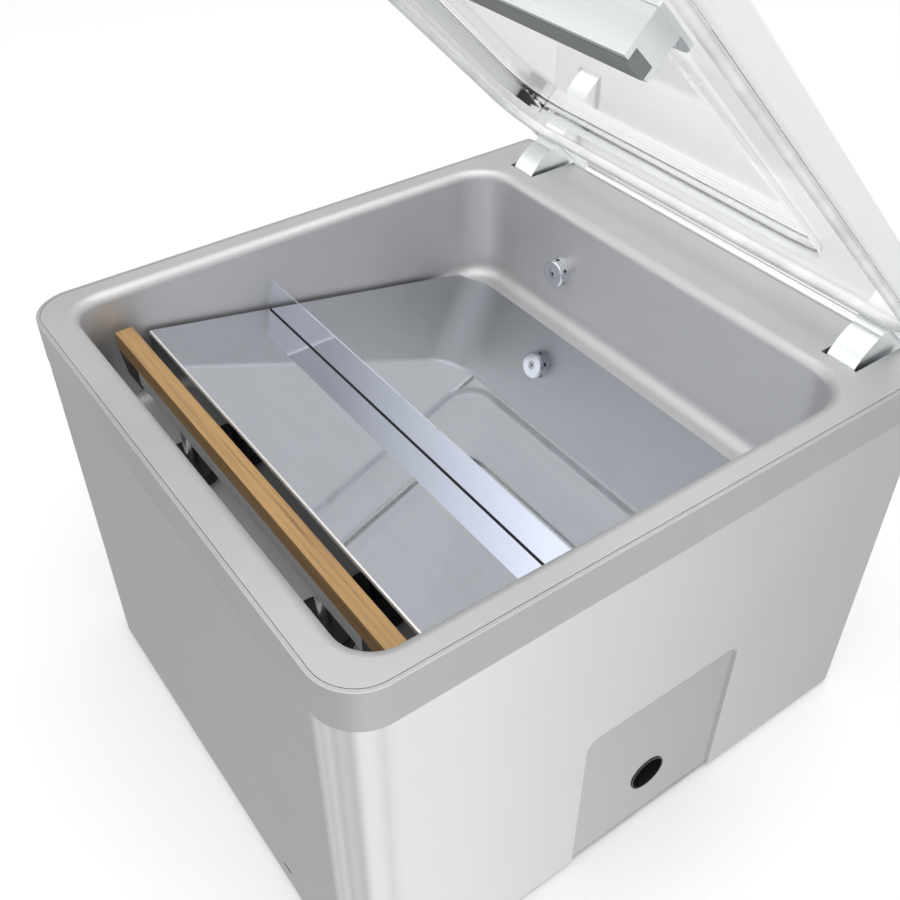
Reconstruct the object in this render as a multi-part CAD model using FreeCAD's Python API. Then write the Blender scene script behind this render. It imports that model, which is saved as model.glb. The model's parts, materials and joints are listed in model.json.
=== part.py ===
import FreeCAD, Part
import math
import os

# Tabletop chamber vacuum packer.  Millimetres.  The origin is the centre of the plane that the feet
# rest on: +X to the right, -Y to the front, +Z up.  Every lid piece is drawn in the closed position
# and turned to the open rest position by opened().

V = FreeCAD.Vector
X_AXIS = V(1, 0, 0)
Y_AXIS = V(0, 1, 0)
Z_AXIS = V(0, 0, 1)

# ---------------------------------------------------------------- driving dimensions
BODY_HALF_X = 245.0
BODY_HALF_Y = 264.5
FOOT_HEIGHT = 4.0
DECK_Z = 378.0
SKIRT_HEIGHT = 36.0
FRONT_CORNER_R = 36.0
BACK_CORNER_R = 5.0
TUB_SHEET = 3.0
SKIRT_SHEET = 3.0
SKIRT_EDGE_R = 0.5
DECK_SEAM_WIDTH = 0.5
DECK_SEAM_DEPTH = 1.2

CHAMBER_HALF_X = 220.5
CHAMBER_FRONT_Y = -236.0
CHAMBER_BACK_Y = 192.5
CHAMBER_FLOOR_Z = 265.0
CHAMBER_FRONT_R = 28.0
CHAMBER_BACK_R = 36.0
CHAMBER_FLOOR_R = 12.0
CHAMBER_RIM_R = 8.5
COLLAR_WIDTH = 11.0
COLLAR_DEPTH = 11.0

HOUSING_INSET = 0.6
HOUSING_SHEET = 1.5
PANEL_FIT = 0.1
BASE_SHEET = 2.0

HINGE_Y = 255.0
HINGE_Z = 353.0
LID_OPEN_DEG = 45.0
LID_HALF_X = 243.8
LID_FRONT_Y = -263.0
LID_BACK_Y = 263.5
LID_UNDERSIDE_Z = DECK_Z + 5.0
LID_THICKNESS = 21.0
LID_FRONT_R = 34.5
LID_BACK_R = 4.0
LID_EDGE_R = 3.5
LID_RECESS_HALF_X = 181.0
LID_RECESS_FRONT_Y = -175.0
LID_RECESS_BACK_Y = 143.0
LID_RECESS_DEPTH = 13.2
LID_RECESS_R = 50.0

GASKET_HALF_X = 235.0
GASKET_FRONT_Y = -253.0
GASKET_BACK_Y = 205.0
GASKET_WIDTH = 8.5
GASKET_GAP = 0.3
GASKET_EDGE_R = 3.0
GASKET_FRONT_R = 27.0
GASKET_BACK_R = 40.0

ARM_INNER_X = 180.0
ARM_OUTER_X = 206.0
ARM_FRONT_Y = 212.0
ARM_ARC_R = 47.2
ARM_ARC_END_DEG = 205.0
HUB_R = 9.0
HINGE_PIN_R = 6.0
RUNNING_FIT = 0.05
SLOT_INNER_X = 176.5
SLOT_OUTER_X = 209.5
SLOT_FRONT_Y = 211.0

BAR_HALF_X = 212.0
BAR_FRONT_Y = -206.0
BAR_BACK_Y = -191.0
BAR_CENTRE_Y = (BAR_FRONT_Y + BAR_BACK_Y) / 2
BAR_TOP_Z = 345.5
BAR_BOTTOM_Z = 328.8
CARRIER_HALF_X = 172.0
CARRIER_BOTTOM_Z = 314.5
CARRIER_EDGE_R = 0.6
LIFT_X = 106.0
LIFT_ROD_R = 5.0
LIFT_BASE_TOP_Z = 277.0

PLATE_FRONT_Y = -176.6
PLATE_FRONT_Z = 333.3
PLATE_REAR_Y = 169.2
PLATE_HALF_X = 216.0
PLATE_SHEET = 1.5
PLATE_BEND_R = 2.2
PLATE_CORNER_X = 189.0
PLATE_CORNER_Y = 152.5
LEG_NOTCH_X = 13.0
LEG_NOTCH_Z = 14.0
PLATE_SLOPE = math.radians(10.86)
RAIL_FOOT_Y = -61.0
RAIL_HEIGHT = 29.0
RAIL_SHEET = 1.2

HOLDER_HALF_X = 216.0
HOLDER_FRONT_Y = -210.0
HOLDER_BACK_Y = -186.0
HOLDER_BOTTOM_Z = 354.7
HOLDER_TAB = 3.0
STRIP_WIDTH = 16.3
STRIP_DEPTH = 6.5
STRIP_PROUD = 1.5

HATCH_FRONT_Y = -63.0
HATCH_BACK_Y = 98.5
HATCH_TOP_Z = 175.0
HATCH_R = 12.0
HATCH_RECESS = 2.4
HATCH_SHEET = 1.2
CUP_R = 17.8
CUP_Y = 16.8
CUP_Z = 62.4

KNOB_R = 12.0
KNOB_Y = -179.0
KNOB_Z = 360.0
KNOB_REACH = 11.0

SHAFT_Y = 20.0
SHAFT_Z = 92.0
SHAFT_R = 8.0


# ---------------------------------------------------------------- shape helpers
def box(x0, x1, y0, y1, z0, z1):
    """Block between two corners."""
    return Part.makeBox(x1 - x0, y1 - y0, z1 - z0, V(x0, y0, z0))


def rod(start, end, radius):
    """Round bar from one point to another."""
    along = end - start
    return Part.makeCylinder(radius, along.Length, start, along)


def tube(start, end, outer_r, inner_r):
    """Round sleeve from one point to another."""
    return rod(start, end, outer_r).cut(rod(start, end, inner_r))


def rounded_outline(x0, x1, y0, y1, z, front_r, back_r):
    """Closed wire of a rectangle whose front and back corners have their own radii."""
    corners = [
        (x0 + front_r, y0 + front_r, front_r, 180.0),
        (x1 - front_r, y0 + front_r, front_r, 270.0),
        (x1 - back_r, y1 - back_r, back_r, 0.0),
        (x0 + back_r, y1 - back_r, back_r, 90.0),
    ]
    arcs = []
    for cx, cy, radius, start in corners:
        circle = Part.Circle(V(cx, cy, z), Z_AXIS, radius)
        arcs.append(Part.Arc(circle, math.radians(start), math.radians(start + 90.0)).toShape())
    edges = []
    for index, arc in enumerate(arcs):
        following = arcs[(index + 1) % len(arcs)]
        edges.append(arc)
        edges.append(Part.LineSegment(arc.Vertexes[-1].Point, following.Vertexes[0].Point).toShape())
    return Part.Wire(Part.__sortEdges__(edges))


def rounded_block(half_x, y0, y1, z0, z1, front_r, back_r):
    """Upright prism, symmetric about X = 0, over rounded_outline."""
    wire = rounded_outline(-half_x, half_x, y0, y1, z0, front_r, back_r)
    return Part.Face(wire).extrude(V(0, 0, z1 - z0))


def rounded_plate_x(x0, x1, y0, y1, z0, z1, radius):
    """Plate facing along X with all four corners rounded."""
    plate = box(x0, x1, y0, y1, z0, z1)
    edges = [e for e in plate.Edges if abs(e.Length - (x1 - x0)) < 1e-6 and is_along(e, X_AXIS)]
    return plate.makeFillet(radius, edges)


def is_along(edge, axis):
    """True for a straight edge parallel to axis."""
    first = edge.Vertexes[0].Point
    last = edge.Vertexes[-1].Point
    length = (last - first).Length
    return length > 1e-6 and abs(abs((last - first).dot(axis)) - length) < 1e-6


def edges_at_z(shape, z):
    """Edges that lie wholly in the plane at height z."""
    found = []
    for edge in shape.Edges:
        bounds = edge.BoundBox
        if abs(bounds.ZMin - z) < 1e-4 and abs(bounds.ZMax - z) < 1e-4:
            found.append(edge)
    return found


def inside_y(edges, half_x, y0, y1):
    """Edges whose middle lies inside a rectangle."""
    chosen = []
    for edge in edges:
        centre = edge.BoundBox.Center
        if abs(centre.x) < half_x and y0 < centre.y < y1:
            chosen.append(edge)
    return chosen


def prism_x(points, x0, x1):
    """Extrude a (y, z) polygon along X."""
    corners = [V(x0, y, z) for y, z in points]
    corners.append(corners[0])
    return Part.Face(Part.makePolygon(corners)).extrude(V(x1 - x0, 0, 0))


def mirrored(shape):
    """Copy on the other side of the plane X = 0."""
    return shape.mirror(V(0, 0, 0), X_AXIS)


def opened(shape):
    """Turn a lid piece from closed to the open rest position."""
    turned = shape.copy()
    turned.rotate(V(0, HINGE_Y, HINGE_Z), X_AXIS, -LID_OPEN_DEG)
    return turned


def group(shapes):
    """Several separate solids in one node."""
    return Part.makeCompound(shapes)


def clean(shape):
    """Merge faces left over from a union."""
    return shape.removeSplitter()


def save(name, shape):
    """Write one node."""
    solids = shape.Solids
    if not solids or not shape.isValid():
        raise ValueError("bad shape: " + name)
    if len(solids) == 1:
        solids[0].exportStep("parts/" + name + ".step")
    else:
        group(solids).exportStep("parts/" + name + ".step")


def screw_z(x, y, z_under_head, head_r, head_h, shank_r, shank_len, sign):
    """Cross-recessed pan-head screw.  sign = +1 puts the head above the shank."""
    head = rod(V(x, y, z_under_head), V(x, y, z_under_head + sign * head_h), head_r)
    head = head.makeFillet(head_h * 0.45, [edges_at_z(head, z_under_head + sign * head_h)[0]])
    shank = rod(V(x, y, z_under_head), V(x, y, z_under_head - sign * shank_len), shank_r)
    recess_z = z_under_head + sign * head_h
    wide = head_r * 0.55
    thin = head_r * 0.17
    recess_depth = head_h * 0.75
    low = min(recess_z, recess_z - sign * recess_depth)
    high = max(recess_z, recess_z - sign * recess_depth) + 1.0
    low = low - (1.0 if sign < 0 else 0.0)
    cross = box(x - wide, x + wide, y - thin, y + thin, low, high)
    cross = cross.fuse(box(x - thin, x + thin, y - wide, y + wide, low, high))
    return clean(head.fuse(shank).cut(cross))


def screw_along(point, direction, head_r, head_h, shank_r, shank_len):
    """Pan-head screw whose head stands off point in direction."""
    screw = screw_z(0, 0, 0, head_r, head_h, shank_r, shank_len, 1)
    screw.Placement = FreeCAD.Placement(point, FreeCAD.Rotation(Z_AXIS, direction))
    return screw


# ---------------------------------------------------------------- casing
def chamber_outline_block(extra, z0, z1):
    """Prism over the chamber opening, grown by extra on every side."""
    return rounded_block(
        CHAMBER_HALF_X + extra, CHAMBER_FRONT_Y - extra, CHAMBER_BACK_Y + extra, z0, z1,
        CHAMBER_FRONT_R + extra, CHAMBER_BACK_R + extra)


def hinge_slots(z0, z1):
    """The two notches in the rear of the deck that the lid arms turn in."""
    right = box(SLOT_INNER_X, SLOT_OUTER_X, SLOT_FRONT_Y, BODY_HALF_Y + 1, z0, z1)
    return right.fuse(mirrored(right))


def body_block(inset, z0, z1):
    """Prism over the body's outline, shrunk by inset on every side."""
    return rounded_block(
        BODY_HALF_X - inset, -BODY_HALF_Y + inset, BODY_HALF_Y - inset, z0, z1,
        FRONT_CORNER_R - inset, BACK_CORNER_R - inset)


SUCTION_X = -104.5
SUCTION_Z = 316.0
SUCTION_PORT_R = 8.0


def make_chamber_tub():
    """Deep-drawn well and deck in one sheet, thickened under the rim."""
    deck_under_z = DECK_Z - TUB_SHEET
    seam_floor_z = DECK_Z - DECK_SEAM_DEPTH
    deck = body_block(SKIRT_SHEET, deck_under_z, seam_floor_z)
    deck = deck.fuse(body_block(SKIRT_SHEET + DECK_SEAM_WIDTH, seam_floor_z, DECK_Z))
    well = chamber_outline_block(TUB_SHEET, CHAMBER_FLOOR_Z - TUB_SHEET, deck_under_z)
    well = well.makeFillet(CHAMBER_FLOOR_R, edges_at_z(well, CHAMBER_FLOOR_Z - TUB_SHEET))
    collar = chamber_outline_block(COLLAR_WIDTH, deck_under_z - COLLAR_DEPTH, deck_under_z)
    tub = deck.fuse([well, collar])
    void = chamber_outline_block(0, CHAMBER_FLOOR_Z, DECK_Z + 5)
    void = void.makeFillet(CHAMBER_FLOOR_R, edges_at_z(void, CHAMBER_FLOOR_Z))
    tub = clean(tub.cut(void))
    rim = inside_y(edges_at_z(tub, DECK_Z), CHAMBER_HALF_X + 1, CHAMBER_FRONT_Y - 1, CHAMBER_BACK_Y + 1)
    tub = tub.makeFillet(CHAMBER_RIM_R, rim)
    tub = tub.cut(hinge_slots(HOUSING_TOP_Z, DECK_Z + 1))
    port = rod(V(SUCTION_X, CHAMBER_BACK_Y - 1, SUCTION_Z),
               V(SUCTION_X, CHAMBER_BACK_Y + TUB_SHEET + 1, SUCTION_Z), SUCTION_PORT_R)
    return tub.cut(port)


def make_deck_skirt():
    """Upright band round the deck, with the two hinge notches and the hole for the knob's stem."""
    skirt = body_block(0, HOUSING_TOP_Z, DECK_Z)
    skirt = skirt.makeFillet(SKIRT_EDGE_R, edges_at_z(skirt, DECK_Z))
    skirt = skirt.cut(body_block(SKIRT_SHEET, HOUSING_TOP_Z - 1, DECK_Z + 1))
    skirt = skirt.cut(hinge_slots(HOUSING_TOP_Z - 1, DECK_Z + 1))
    knob_hole = rod(V(-BODY_HALF_X - 1, KNOB_Y, KNOB_Z), V(-BODY_HALF_X + 4, KNOB_Y, KNOB_Z),
                    KNOB_STEM_R + RUNNING_FIT)
    return skirt.cut(knob_hole)


KNOB_STEM_R = 2.5
HOUSING_HALF_X = BODY_HALF_X - HOUSING_INSET
HOUSING_FRONT_Y = -BODY_HALF_Y + HOUSING_INSET
HOUSING_BACK_Y = BODY_HALF_Y - HOUSING_INSET
HOUSING_TOP_Z = DECK_Z - SKIRT_HEIGHT
WALL_INNER_X = HOUSING_HALF_X - HOUSING_SHEET
BACK_PANEL_Y = HOUSING_BACK_Y - 2.0
FLANGE_WIDTH = 12.0
PANEL_FRONT_Y = -205.0
PANEL_BACK_Y = -45.0
PANEL_LOW_Z = 262.0
PANEL_HIGH_Z = 332.0
PANEL_R = 6.0
FRONT_SLOT_X = 121.0
FRONT_SLOT_Z = 26.0


def make_housing_shell():
    back_r = 2.0
    outer = rounded_block(HOUSING_HALF_X, HOUSING_FRONT_Y, HOUSING_BACK_Y, FOOT_HEIGHT, HOUSING_TOP_Z,
                          FRONT_CORNER_R - HOUSING_INSET, back_r)
    inner_r = FRONT_CORNER_R - HOUSING_INSET - HOUSING_SHEET
    inner = rounded_block(WALL_INNER_X, HOUSING_FRONT_Y + HOUSING_SHEET, HOUSING_BACK_Y + 10,
                          FOOT_HEIGHT - 1, HOUSING_TOP_Z + 1, inner_r, back_r / 2)
    shell = outer.cut(inner)
    for side in (-1, 1):
        x_pair = sorted((side * (WALL_INNER_X - FLANGE_WIDTH), side * WALL_INNER_X))
        shell = shell.fuse(box(x_pair[0], x_pair[1], BACK_PANEL_Y - HOUSING_SHEET, BACK_PANEL_Y,
                               FOOT_HEIGHT + BASE_SHEET + 2, HOUSING_TOP_Z - 2))
    shell = shell.cut(hatch_block(0, WALL_INNER_X - 5, HOUSING_HALF_X + 1, FOOT_HEIGHT - 30))
    lip = hatch_block(HOUSING_SHEET, HOUSING_HALF_X - HATCH_RECESS, HOUSING_HALF_X, FOOT_HEIGHT - 30)
    lip = lip.cut(hatch_block(0, HOUSING_HALF_X - HATCH_RECESS - 1, HOUSING_HALF_X + 1, FOOT_HEIGHT - 40))
    lip = lip.common(box(0, HOUSING_HALF_X, -BODY_HALF_Y, BODY_HALF_Y,
                         FOOT_HEIGHT + BASE_SHEET + 0.3, HOUSING_TOP_Z))
    shell = shell.fuse(lip)
    shell = shell.cut(rounded_plate_x(-HOUSING_HALF_X - 1, -WALL_INNER_X + 1, PANEL_FRONT_Y, PANEL_BACK_Y,
                                      PANEL_LOW_Z, PANEL_HIGH_Z, PANEL_R))
    shell = shell.cut(box(FRONT_SLOT_X - 6, FRONT_SLOT_X + 6, HOUSING_FRONT_Y - 1, HOUSING_FRONT_Y + 3,
                          FRONT_SLOT_Z - 1.5, FRONT_SLOT_Z + 1.5))
    return clean(shell)


def hatch_block(extra, x0, x1, z_low):
    """Hatch outline, grown by extra, as a block through the right wall."""
    plate = box(x0, x1, HATCH_FRONT_Y - extra, HATCH_BACK_Y + extra, z_low, HATCH_TOP_Z + extra)
    top_edges = []
    for edge in plate.Edges:
        if is_along(edge, X_AXIS) and edge.BoundBox.Center.z > HATCH_TOP_Z - 1:
            top_edges.append(edge)
    return plate.makeFillet(HATCH_R + extra, top_edges)


def make_service_hatch():
    outer_x = HOUSING_HALF_X - HATCH_RECESS
    bottom_z = FOOT_HEIGHT + BASE_SHEET + 0.3
    overlap = 8.0
    plate = hatch_block(overlap, outer_x - HATCH_SHEET, outer_x, bottom_z)
    foot_flange = box(outer_x - 16, outer_x - HATCH_SHEET, HATCH_FRONT_Y, HATCH_BACK_Y,
                      bottom_z, bottom_z + HATCH_SHEET)
    hole = rod(V(outer_x - 5, CUP_Y, CUP_Z), V(outer_x + 5, CUP_Y, CUP_Z), CUP_R)
    return clean(plate.fuse(foot_flange).cut(hole))


CUP_DEPTH = 18.0
CUP_WALL = 1.5


def make_hatch_finger_cup():
    face_x = HOUSING_HALF_X - HATCH_RECESS
    start = V(face_x - CUP_DEPTH, CUP_Y, CUP_Z)
    mouth = V(face_x + 0.8, CUP_Y, CUP_Z)
    cup = rod(start, mouth, CUP_R - PANEL_FIT)
    cup = cup.cut(rod(start + V(CUP_WALL, 0, 0), mouth + V(1, 0, 0), CUP_R - PANEL_FIT - CUP_WALL))
    snap_ring = tube(V(face_x - HATCH_SHEET - 2, CUP_Y, CUP_Z), V(face_x - HATCH_SHEET, CUP_Y, CUP_Z),
                     CUP_R + 2, CUP_R - 1)
    return clean(cup.fuse(snap_ring))


FOOT_X = 208.0
FOOT_Y = 226.0
FOOT_R = 21.0


def foot_places():
    return [(sx * FOOT_X, sy * FOOT_Y) for sx in (-1, 1) for sy in (-1, 1)]


def make_base_plate():
    plate = rounded_block(WALL_INNER_X - PANEL_FIT, HOUSING_FRONT_Y + HOUSING_SHEET + PANEL_FIT,
                          BACK_PANEL_Y - PANEL_FIT, FOOT_HEIGHT, FOOT_HEIGHT + BASE_SHEET,
                          FRONT_CORNER_R - HOUSING_INSET - HOUSING_SHEET - PANEL_FIT, 1.0)
    holes = [rod(V(x, y, 0), V(x, y, 20), 2.6) for x, y in foot_places()]
    vents = []
    for row in range(7):
        y = -60.0 + 18.0 * row
        vents.append(box(-215, -165, y - 2, y + 2, 0, 20))
    return plate.cut(group(holes + vents))


def make_rubber_feet():
    feet = []
    for x, y in foot_places():
        pad = rod(V(x, y, 0), V(x, y, FOOT_HEIGHT), FOOT_R)
        pad = pad.makeFillet(1.0, [edges_at_z(pad, 0)[0]])
        pad = pad.cut(rod(V(x, y, -1), V(x, y, 2.0), 6.0))
        feet.append(pad.cut(rod(V(x, y, -1), V(x, y, FOOT_HEIGHT + 1), 2.6)))
    return group(feet)


def make_foot_screws():
    return [screw_z(x, y, 2.0, 5.0, 1.4, 2.5, 9.0, -1) for x, y in foot_places()]


# ---------------------------------------------------------------- rear
FAN_X = -120.0
FAN_Z = 120.0
FAN_HALF = 40.0
FAN_DEPTH = 25.0
INLET_X = 170.0
INLET_Z = 60.0
SWITCH_X = 122.0
SWITCH_Z = 60.0
BACK_PANEL_OUT_Y = BACK_PANEL_Y + HOUSING_SHEET


def back_screw_places():
    places = []
    for side in (-1, 1):
        for z in (24.0, 173.0, 322.0):
            places.append((side * (WALL_INNER_X - FLANGE_WIDTH / 2), z))
    return places


def make_back_panel():
    panel = box(-WALL_INNER_X + PANEL_FIT, WALL_INNER_X - PANEL_FIT, BACK_PANEL_Y, BACK_PANEL_OUT_Y,
                FOOT_HEIGHT + 0.2, HOUSING_TOP_Z - 0.2)
    cuts = []
    y0 = BACK_PANEL_Y - 1
    y1 = BACK_PANEL_OUT_Y + 1
    for ring_r in (10.0, 18.0, 26.0, 34.0):
        ring = tube(V(FAN_X, y0, FAN_Z), V(FAN_X, y1, FAN_Z), ring_r + 2.5, ring_r - 2.5)
        for turn in (45.0, 135.0):
            spoke = box(FAN_X - 50, FAN_X + 50, y0 - 1, y1 + 1, FAN_Z - 2.5, FAN_Z + 2.5)
            spoke.rotate(V(FAN_X, 0, FAN_Z), Y_AXIS, turn)
            ring = ring.cut(spoke)
        cuts.append(ring)
    for column in (-1, 1):
        for row in range(8):
            x = 115.0 + column * 48.0
            z = 190.0 + 15.0 * row
            cuts.append(box(x - 36, x + 36, y0, y1, z - 2.2, z + 2.2))
    cuts.append(box(INLET_X - 13.6, INLET_X + 13.6, y0, y1, INLET_Z - 10.1, INLET_Z + 10.1))
    cuts.append(box(SWITCH_X - 8.1, SWITCH_X + 8.1, y0, y1, SWITCH_Z - 14.1, SWITCH_Z + 14.1))
    for x, z in back_screw_places():
        cuts.append(rod(V(x, y0, z), V(x, y1, z), 1.8))
    return panel.cut(group(cuts))


def make_back_panel_screws():
    screws = []
    for x, z in back_screw_places():
        screws.append(screw_along(V(x, BACK_PANEL_OUT_Y, z), Y_AXIS, 3.4, 2.0, 1.7, 1.4))
    return screws


def make_power_inlet():
    flange = box(INLET_X - 17, INLET_X + 17, BACK_PANEL_OUT_Y, BACK_PANEL_OUT_Y + 2, INLET_Z - 13, INLET_Z + 13)
    body = box(INLET_X - 13.5, INLET_X + 13.5, BACK_PANEL_Y - 20, BACK_PANEL_OUT_Y, INLET_Z - 10, INLET_Z + 10)
    well = box(INLET_X - 12, INLET_X + 12, BACK_PANEL_Y - 16, BACK_PANEL_OUT_Y + 3, INLET_Z - 8.2, INLET_Z + 8.2)
    inlet = flange.fuse(body).cut(well)
    slots = [pin_block(dx, dz, 0.05) for dx, dz in inlet_pin_places()]
    return clean(inlet).cut(group(slots))


def inlet_pin_places():
    return [(-7.0, -2.0), (7.0, -2.0), (0.0, 3.0)]


def pin_block(dx, dz, grow):
    """One flat contact blade of the inlet."""
    return box(INLET_X + dx - 1 - grow, INLET_X + dx + 1 + grow,
               BACK_PANEL_Y - 26, BACK_PANEL_Y - 2 + grow,
               INLET_Z + dz - 2 - grow, INLET_Z + dz + 2 + grow)


def make_inlet_pins():
    return group([pin_block(dx, dz, 0.0) for dx, dz in inlet_pin_places()])


ROCKER_PIVOT_Y = BACK_PANEL_Y - 4.0
ROCKER_TILT_DEG = 10.0


def make_main_switch_frame():
    flange = box(SWITCH_X - 10.5, SWITCH_X + 10.5, BACK_PANEL_OUT_Y, BACK_PANEL_OUT_Y + 1.6,
                 SWITCH_Z - 16.5, SWITCH_Z + 16.5)
    body = box(SWITCH_X - 8, SWITCH_X + 8, BACK_PANEL_Y - 22, BACK_PANEL_OUT_Y, SWITCH_Z - 14, SWITCH_Z + 14)
    well = box(SWITCH_X - 6.5, SWITCH_X + 6.5, BACK_PANEL_Y - 14, BACK_PANEL_OUT_Y + 3,
               SWITCH_Z - 12.5, SWITCH_Z + 12.5)
    return clean(flange.fuse(body).cut(well))


def make_main_switch_rocker():
    half = 10.5
    deep = 6.0
    proud = BACK_PANEL_OUT_Y + 3.2 - ROCKER_PIVOT_Y
    profile = [(ROCKER_PIVOT_Y - deep, SWITCH_Z - half), (ROCKER_PIVOT_Y + proud, SWITCH_Z - half),
               (ROCKER_PIVOT_Y + proud - 2.4, SWITCH_Z), (ROCKER_PIVOT_Y + proud, SWITCH_Z + half),
               (ROCKER_PIVOT_Y - deep, SWITCH_Z + half)]
    rocker = prism_x(profile, SWITCH_X - 6.0, SWITCH_X + 6.0)
    rocker.rotate(V(SWITCH_X, ROCKER_PIVOT_Y, SWITCH_Z), X_AXIS, -ROCKER_TILT_DEG)
    return rocker


def make_fan_frame():
    y1 = BACK_PANEL_Y
    y0 = y1 - FAN_DEPTH
    frame = box(FAN_X - FAN_HALF, FAN_X + FAN_HALF, y0, y1, FAN_Z - FAN_HALF, FAN_Z + FAN_HALF)
    frame = frame.cut(rod(V(FAN_X, y0 - 1, FAN_Z), V(FAN_X, y1 + 1, FAN_Z), 38.0))
    hub = rod(V(FAN_X, y0, FAN_Z), V(FAN_X, y0 + 5, FAN_Z), 16.0)
    spokes = []
    for turn in (0.0, 60.0, 120.0):
        spoke = box(FAN_X - 38.5, FAN_X + 38.5, y0, y0 + 3, FAN_Z - 2, FAN_Z + 2)
        spoke.rotate(V(FAN_X, 0, FAN_Z), Y_AXIS, turn)
        spokes.append(spoke)
    axle = rod(V(FAN_X, y0 + 5, FAN_Z), V(FAN_X, y0 + 18, FAN_Z), 1.5)
    return clean(frame.fuse([hub, axle] + spokes))


def make_fan_impeller():
    y0 = BACK_PANEL_Y - FAN_DEPTH + 6
    y1 = BACK_PANEL_Y - 3
    impeller = rod(V(FAN_X, y0, FAN_Z), V(FAN_X, y1, FAN_Z), 17.0)
    blades = []
    blade_count = 7
    for index in range(blade_count):
        blade = box(FAN_X + 15, FAN_X + 36, y0 + 7, y0 + 8.6, FAN_Z - 9, FAN_Z + 9)
        blade.rotate(V(FAN_X, y0 + 7.8, FAN_Z), X_AXIS, 35.0)
        blade.rotate(V(FAN_X, 0, FAN_Z), Y_AXIS, 360.0 * index / blade_count)
        blades.append(blade)
    impeller = clean(impeller.fuse(blades))
    return impeller.cut(rod(V(FAN_X, y0 - 1, FAN_Z), V(FAN_X, y0 + 13, FAN_Z), 1.5 + RUNNING_FIT))


# ---------------------------------------------------------------- chamber fittings
SUCTION_CAP_R = 13.3
SUCTION_CAP_REACH = 10.5
CAP_SCREW_R = 4.2
CAP_EDGE_R = 1.5


def make_suction_cap():
    face_y = CHAMBER_BACK_Y - SUCTION_CAP_REACH
    cap = rod(V(SUCTION_X, face_y, SUCTION_Z), V(SUCTION_X, CHAMBER_BACK_Y, SUCTION_Z), SUCTION_CAP_R)
    rim = [e for e in cap.Edges if abs(e.BoundBox.YMin - face_y) < 1e-4 and abs(e.BoundBox.YMax - face_y) < 1e-4]
    cap = cap.makeFillet(CAP_EDGE_R, rim)
    cap = cap.cut(rod(V(SUCTION_X, face_y + 2, SUCTION_Z), V(SUCTION_X, CHAMBER_BACK_Y + 1, SUCTION_Z), 9.5))
    holes = []
    for index in range(6):
        turn = math.radians(60.0 * index + 30.0)
        mid_y = CHAMBER_BACK_Y - 4.8
        outer = V(SUCTION_X + 15 * math.cos(turn), mid_y, SUCTION_Z + 15 * math.sin(turn))
        holes.append(rod(V(SUCTION_X, mid_y, SUCTION_Z), outer, 1.8))
    holes.append(rod(V(SUCTION_X, face_y - 1, SUCTION_Z), V(SUCTION_X, face_y + 3, SUCTION_Z), CAP_SCREW_R))
    return cap.cut(group(holes))


def suction_cap_screw():
    seat_y = CHAMBER_BACK_Y - SUCTION_CAP_REACH + 2.0
    return screw_along(V(SUCTION_X, seat_y, SUCTION_Z), V(0, -1, 0), CAP_SCREW_R, 1.9, 2.9, 14.0)


def make_lift_base():
    half_x = 25.5
    half_y = 17.0
    base = rounded_block(half_x, -half_y, half_y, CHAMBER_FLOOR_Z, LIFT_BASE_TOP_Z, 16.0, 16.0)
    base = base.makeFillet(2.0, edges_at_z(base, LIFT_BASE_TOP_Z))
    base.translate(V(LIFT_X, BAR_CENTRE_Y, 0))
    bore = rod(V(LIFT_X, BAR_CENTRE_Y, CHAMBER_FLOOR_Z + 3), V(LIFT_X, BAR_CENTRE_Y, LIFT_BASE_TOP_Z + 1),
               LIFT_ROD_R + RUNNING_FIT)
    return base.cut(bore)


def make_lift_rods():
    rods = []
    for side in (-1, 1):
        rods.append(rod(V(side * LIFT_X, BAR_CENTRE_Y, CHAMBER_FLOOR_Z + 4),
                        V(side * LIFT_X, BAR_CENTRE_Y, CARRIER_BOTTOM_Z), LIFT_ROD_R))
    return group(rods)


TAPE_SHEET = 0.3
BAND_HALF_Y = 2.5


def make_seal_bar_carrier():
    carrier = box(-CARRIER_HALF_X, CARRIER_HALF_X, BAR_FRONT_Y, BAR_BACK_Y, CARRIER_BOTTOM_Z, BAR_BOTTOM_Z)
    return carrier.makeFillet(CARRIER_EDGE_R, [e for e in carrier.Edges if is_along(e, X_AXIS)])


def make_seal_bar_body():
    top = BAR_TOP_Z - TAPE_SHEET
    bar = box(-BAR_HALF_X, BAR_HALF_X, BAR_FRONT_Y, BAR_BACK_Y, BAR_BOTTOM_Z, top)
    band = box(-BAR_HALF_X + 6, BAR_HALF_X - 6, BAR_CENTRE_Y - BAND_HALF_Y, BAR_CENTRE_Y + BAND_HALF_Y,
               top - TAPE_SHEET, top + 1)
    return bar.cut(band)


def make_heating_band():
    top = BAR_TOP_Z - TAPE_SHEET
    return box(-BAR_HALF_X + 6, BAR_HALF_X - 6, BAR_CENTRE_Y - BAND_HALF_Y, BAR_CENTRE_Y + BAND_HALF_Y,
               top - TAPE_SHEET, top)


def make_seal_tape():
    return box(-BAR_HALF_X, BAR_HALF_X, BAR_FRONT_Y, BAR_BACK_Y, BAR_TOP_Z - TAPE_SHEET, BAR_TOP_Z)


def make_contact_blocks():
    bottom = CARRIER_BOTTOM_Z - 3.5
    profile = [V(CARRIER_HALF_X, BAR_FRONT_Y, bottom), V(BAR_HALF_X - 12.5, BAR_FRONT_Y, bottom),
               V(BAR_HALF_X, BAR_FRONT_Y, BAR_BOTTOM_Z), V(CARRIER_HALF_X, BAR_FRONT_Y, BAR_BOTTOM_Z)]
    face = Part.Face(Part.makePolygon(profile + [profile[0]]))
    right = face.extrude(V(0, BAR_BACK_Y - BAR_FRONT_Y, 0))
    return group([right, mirrored(right)])


def plate_z(y):
    """Height of the sloping insert plate's top face at y."""
    return PLATE_FRONT_Z - (y - PLATE_FRONT_Y) * math.tan(PLATE_SLOPE)


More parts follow.
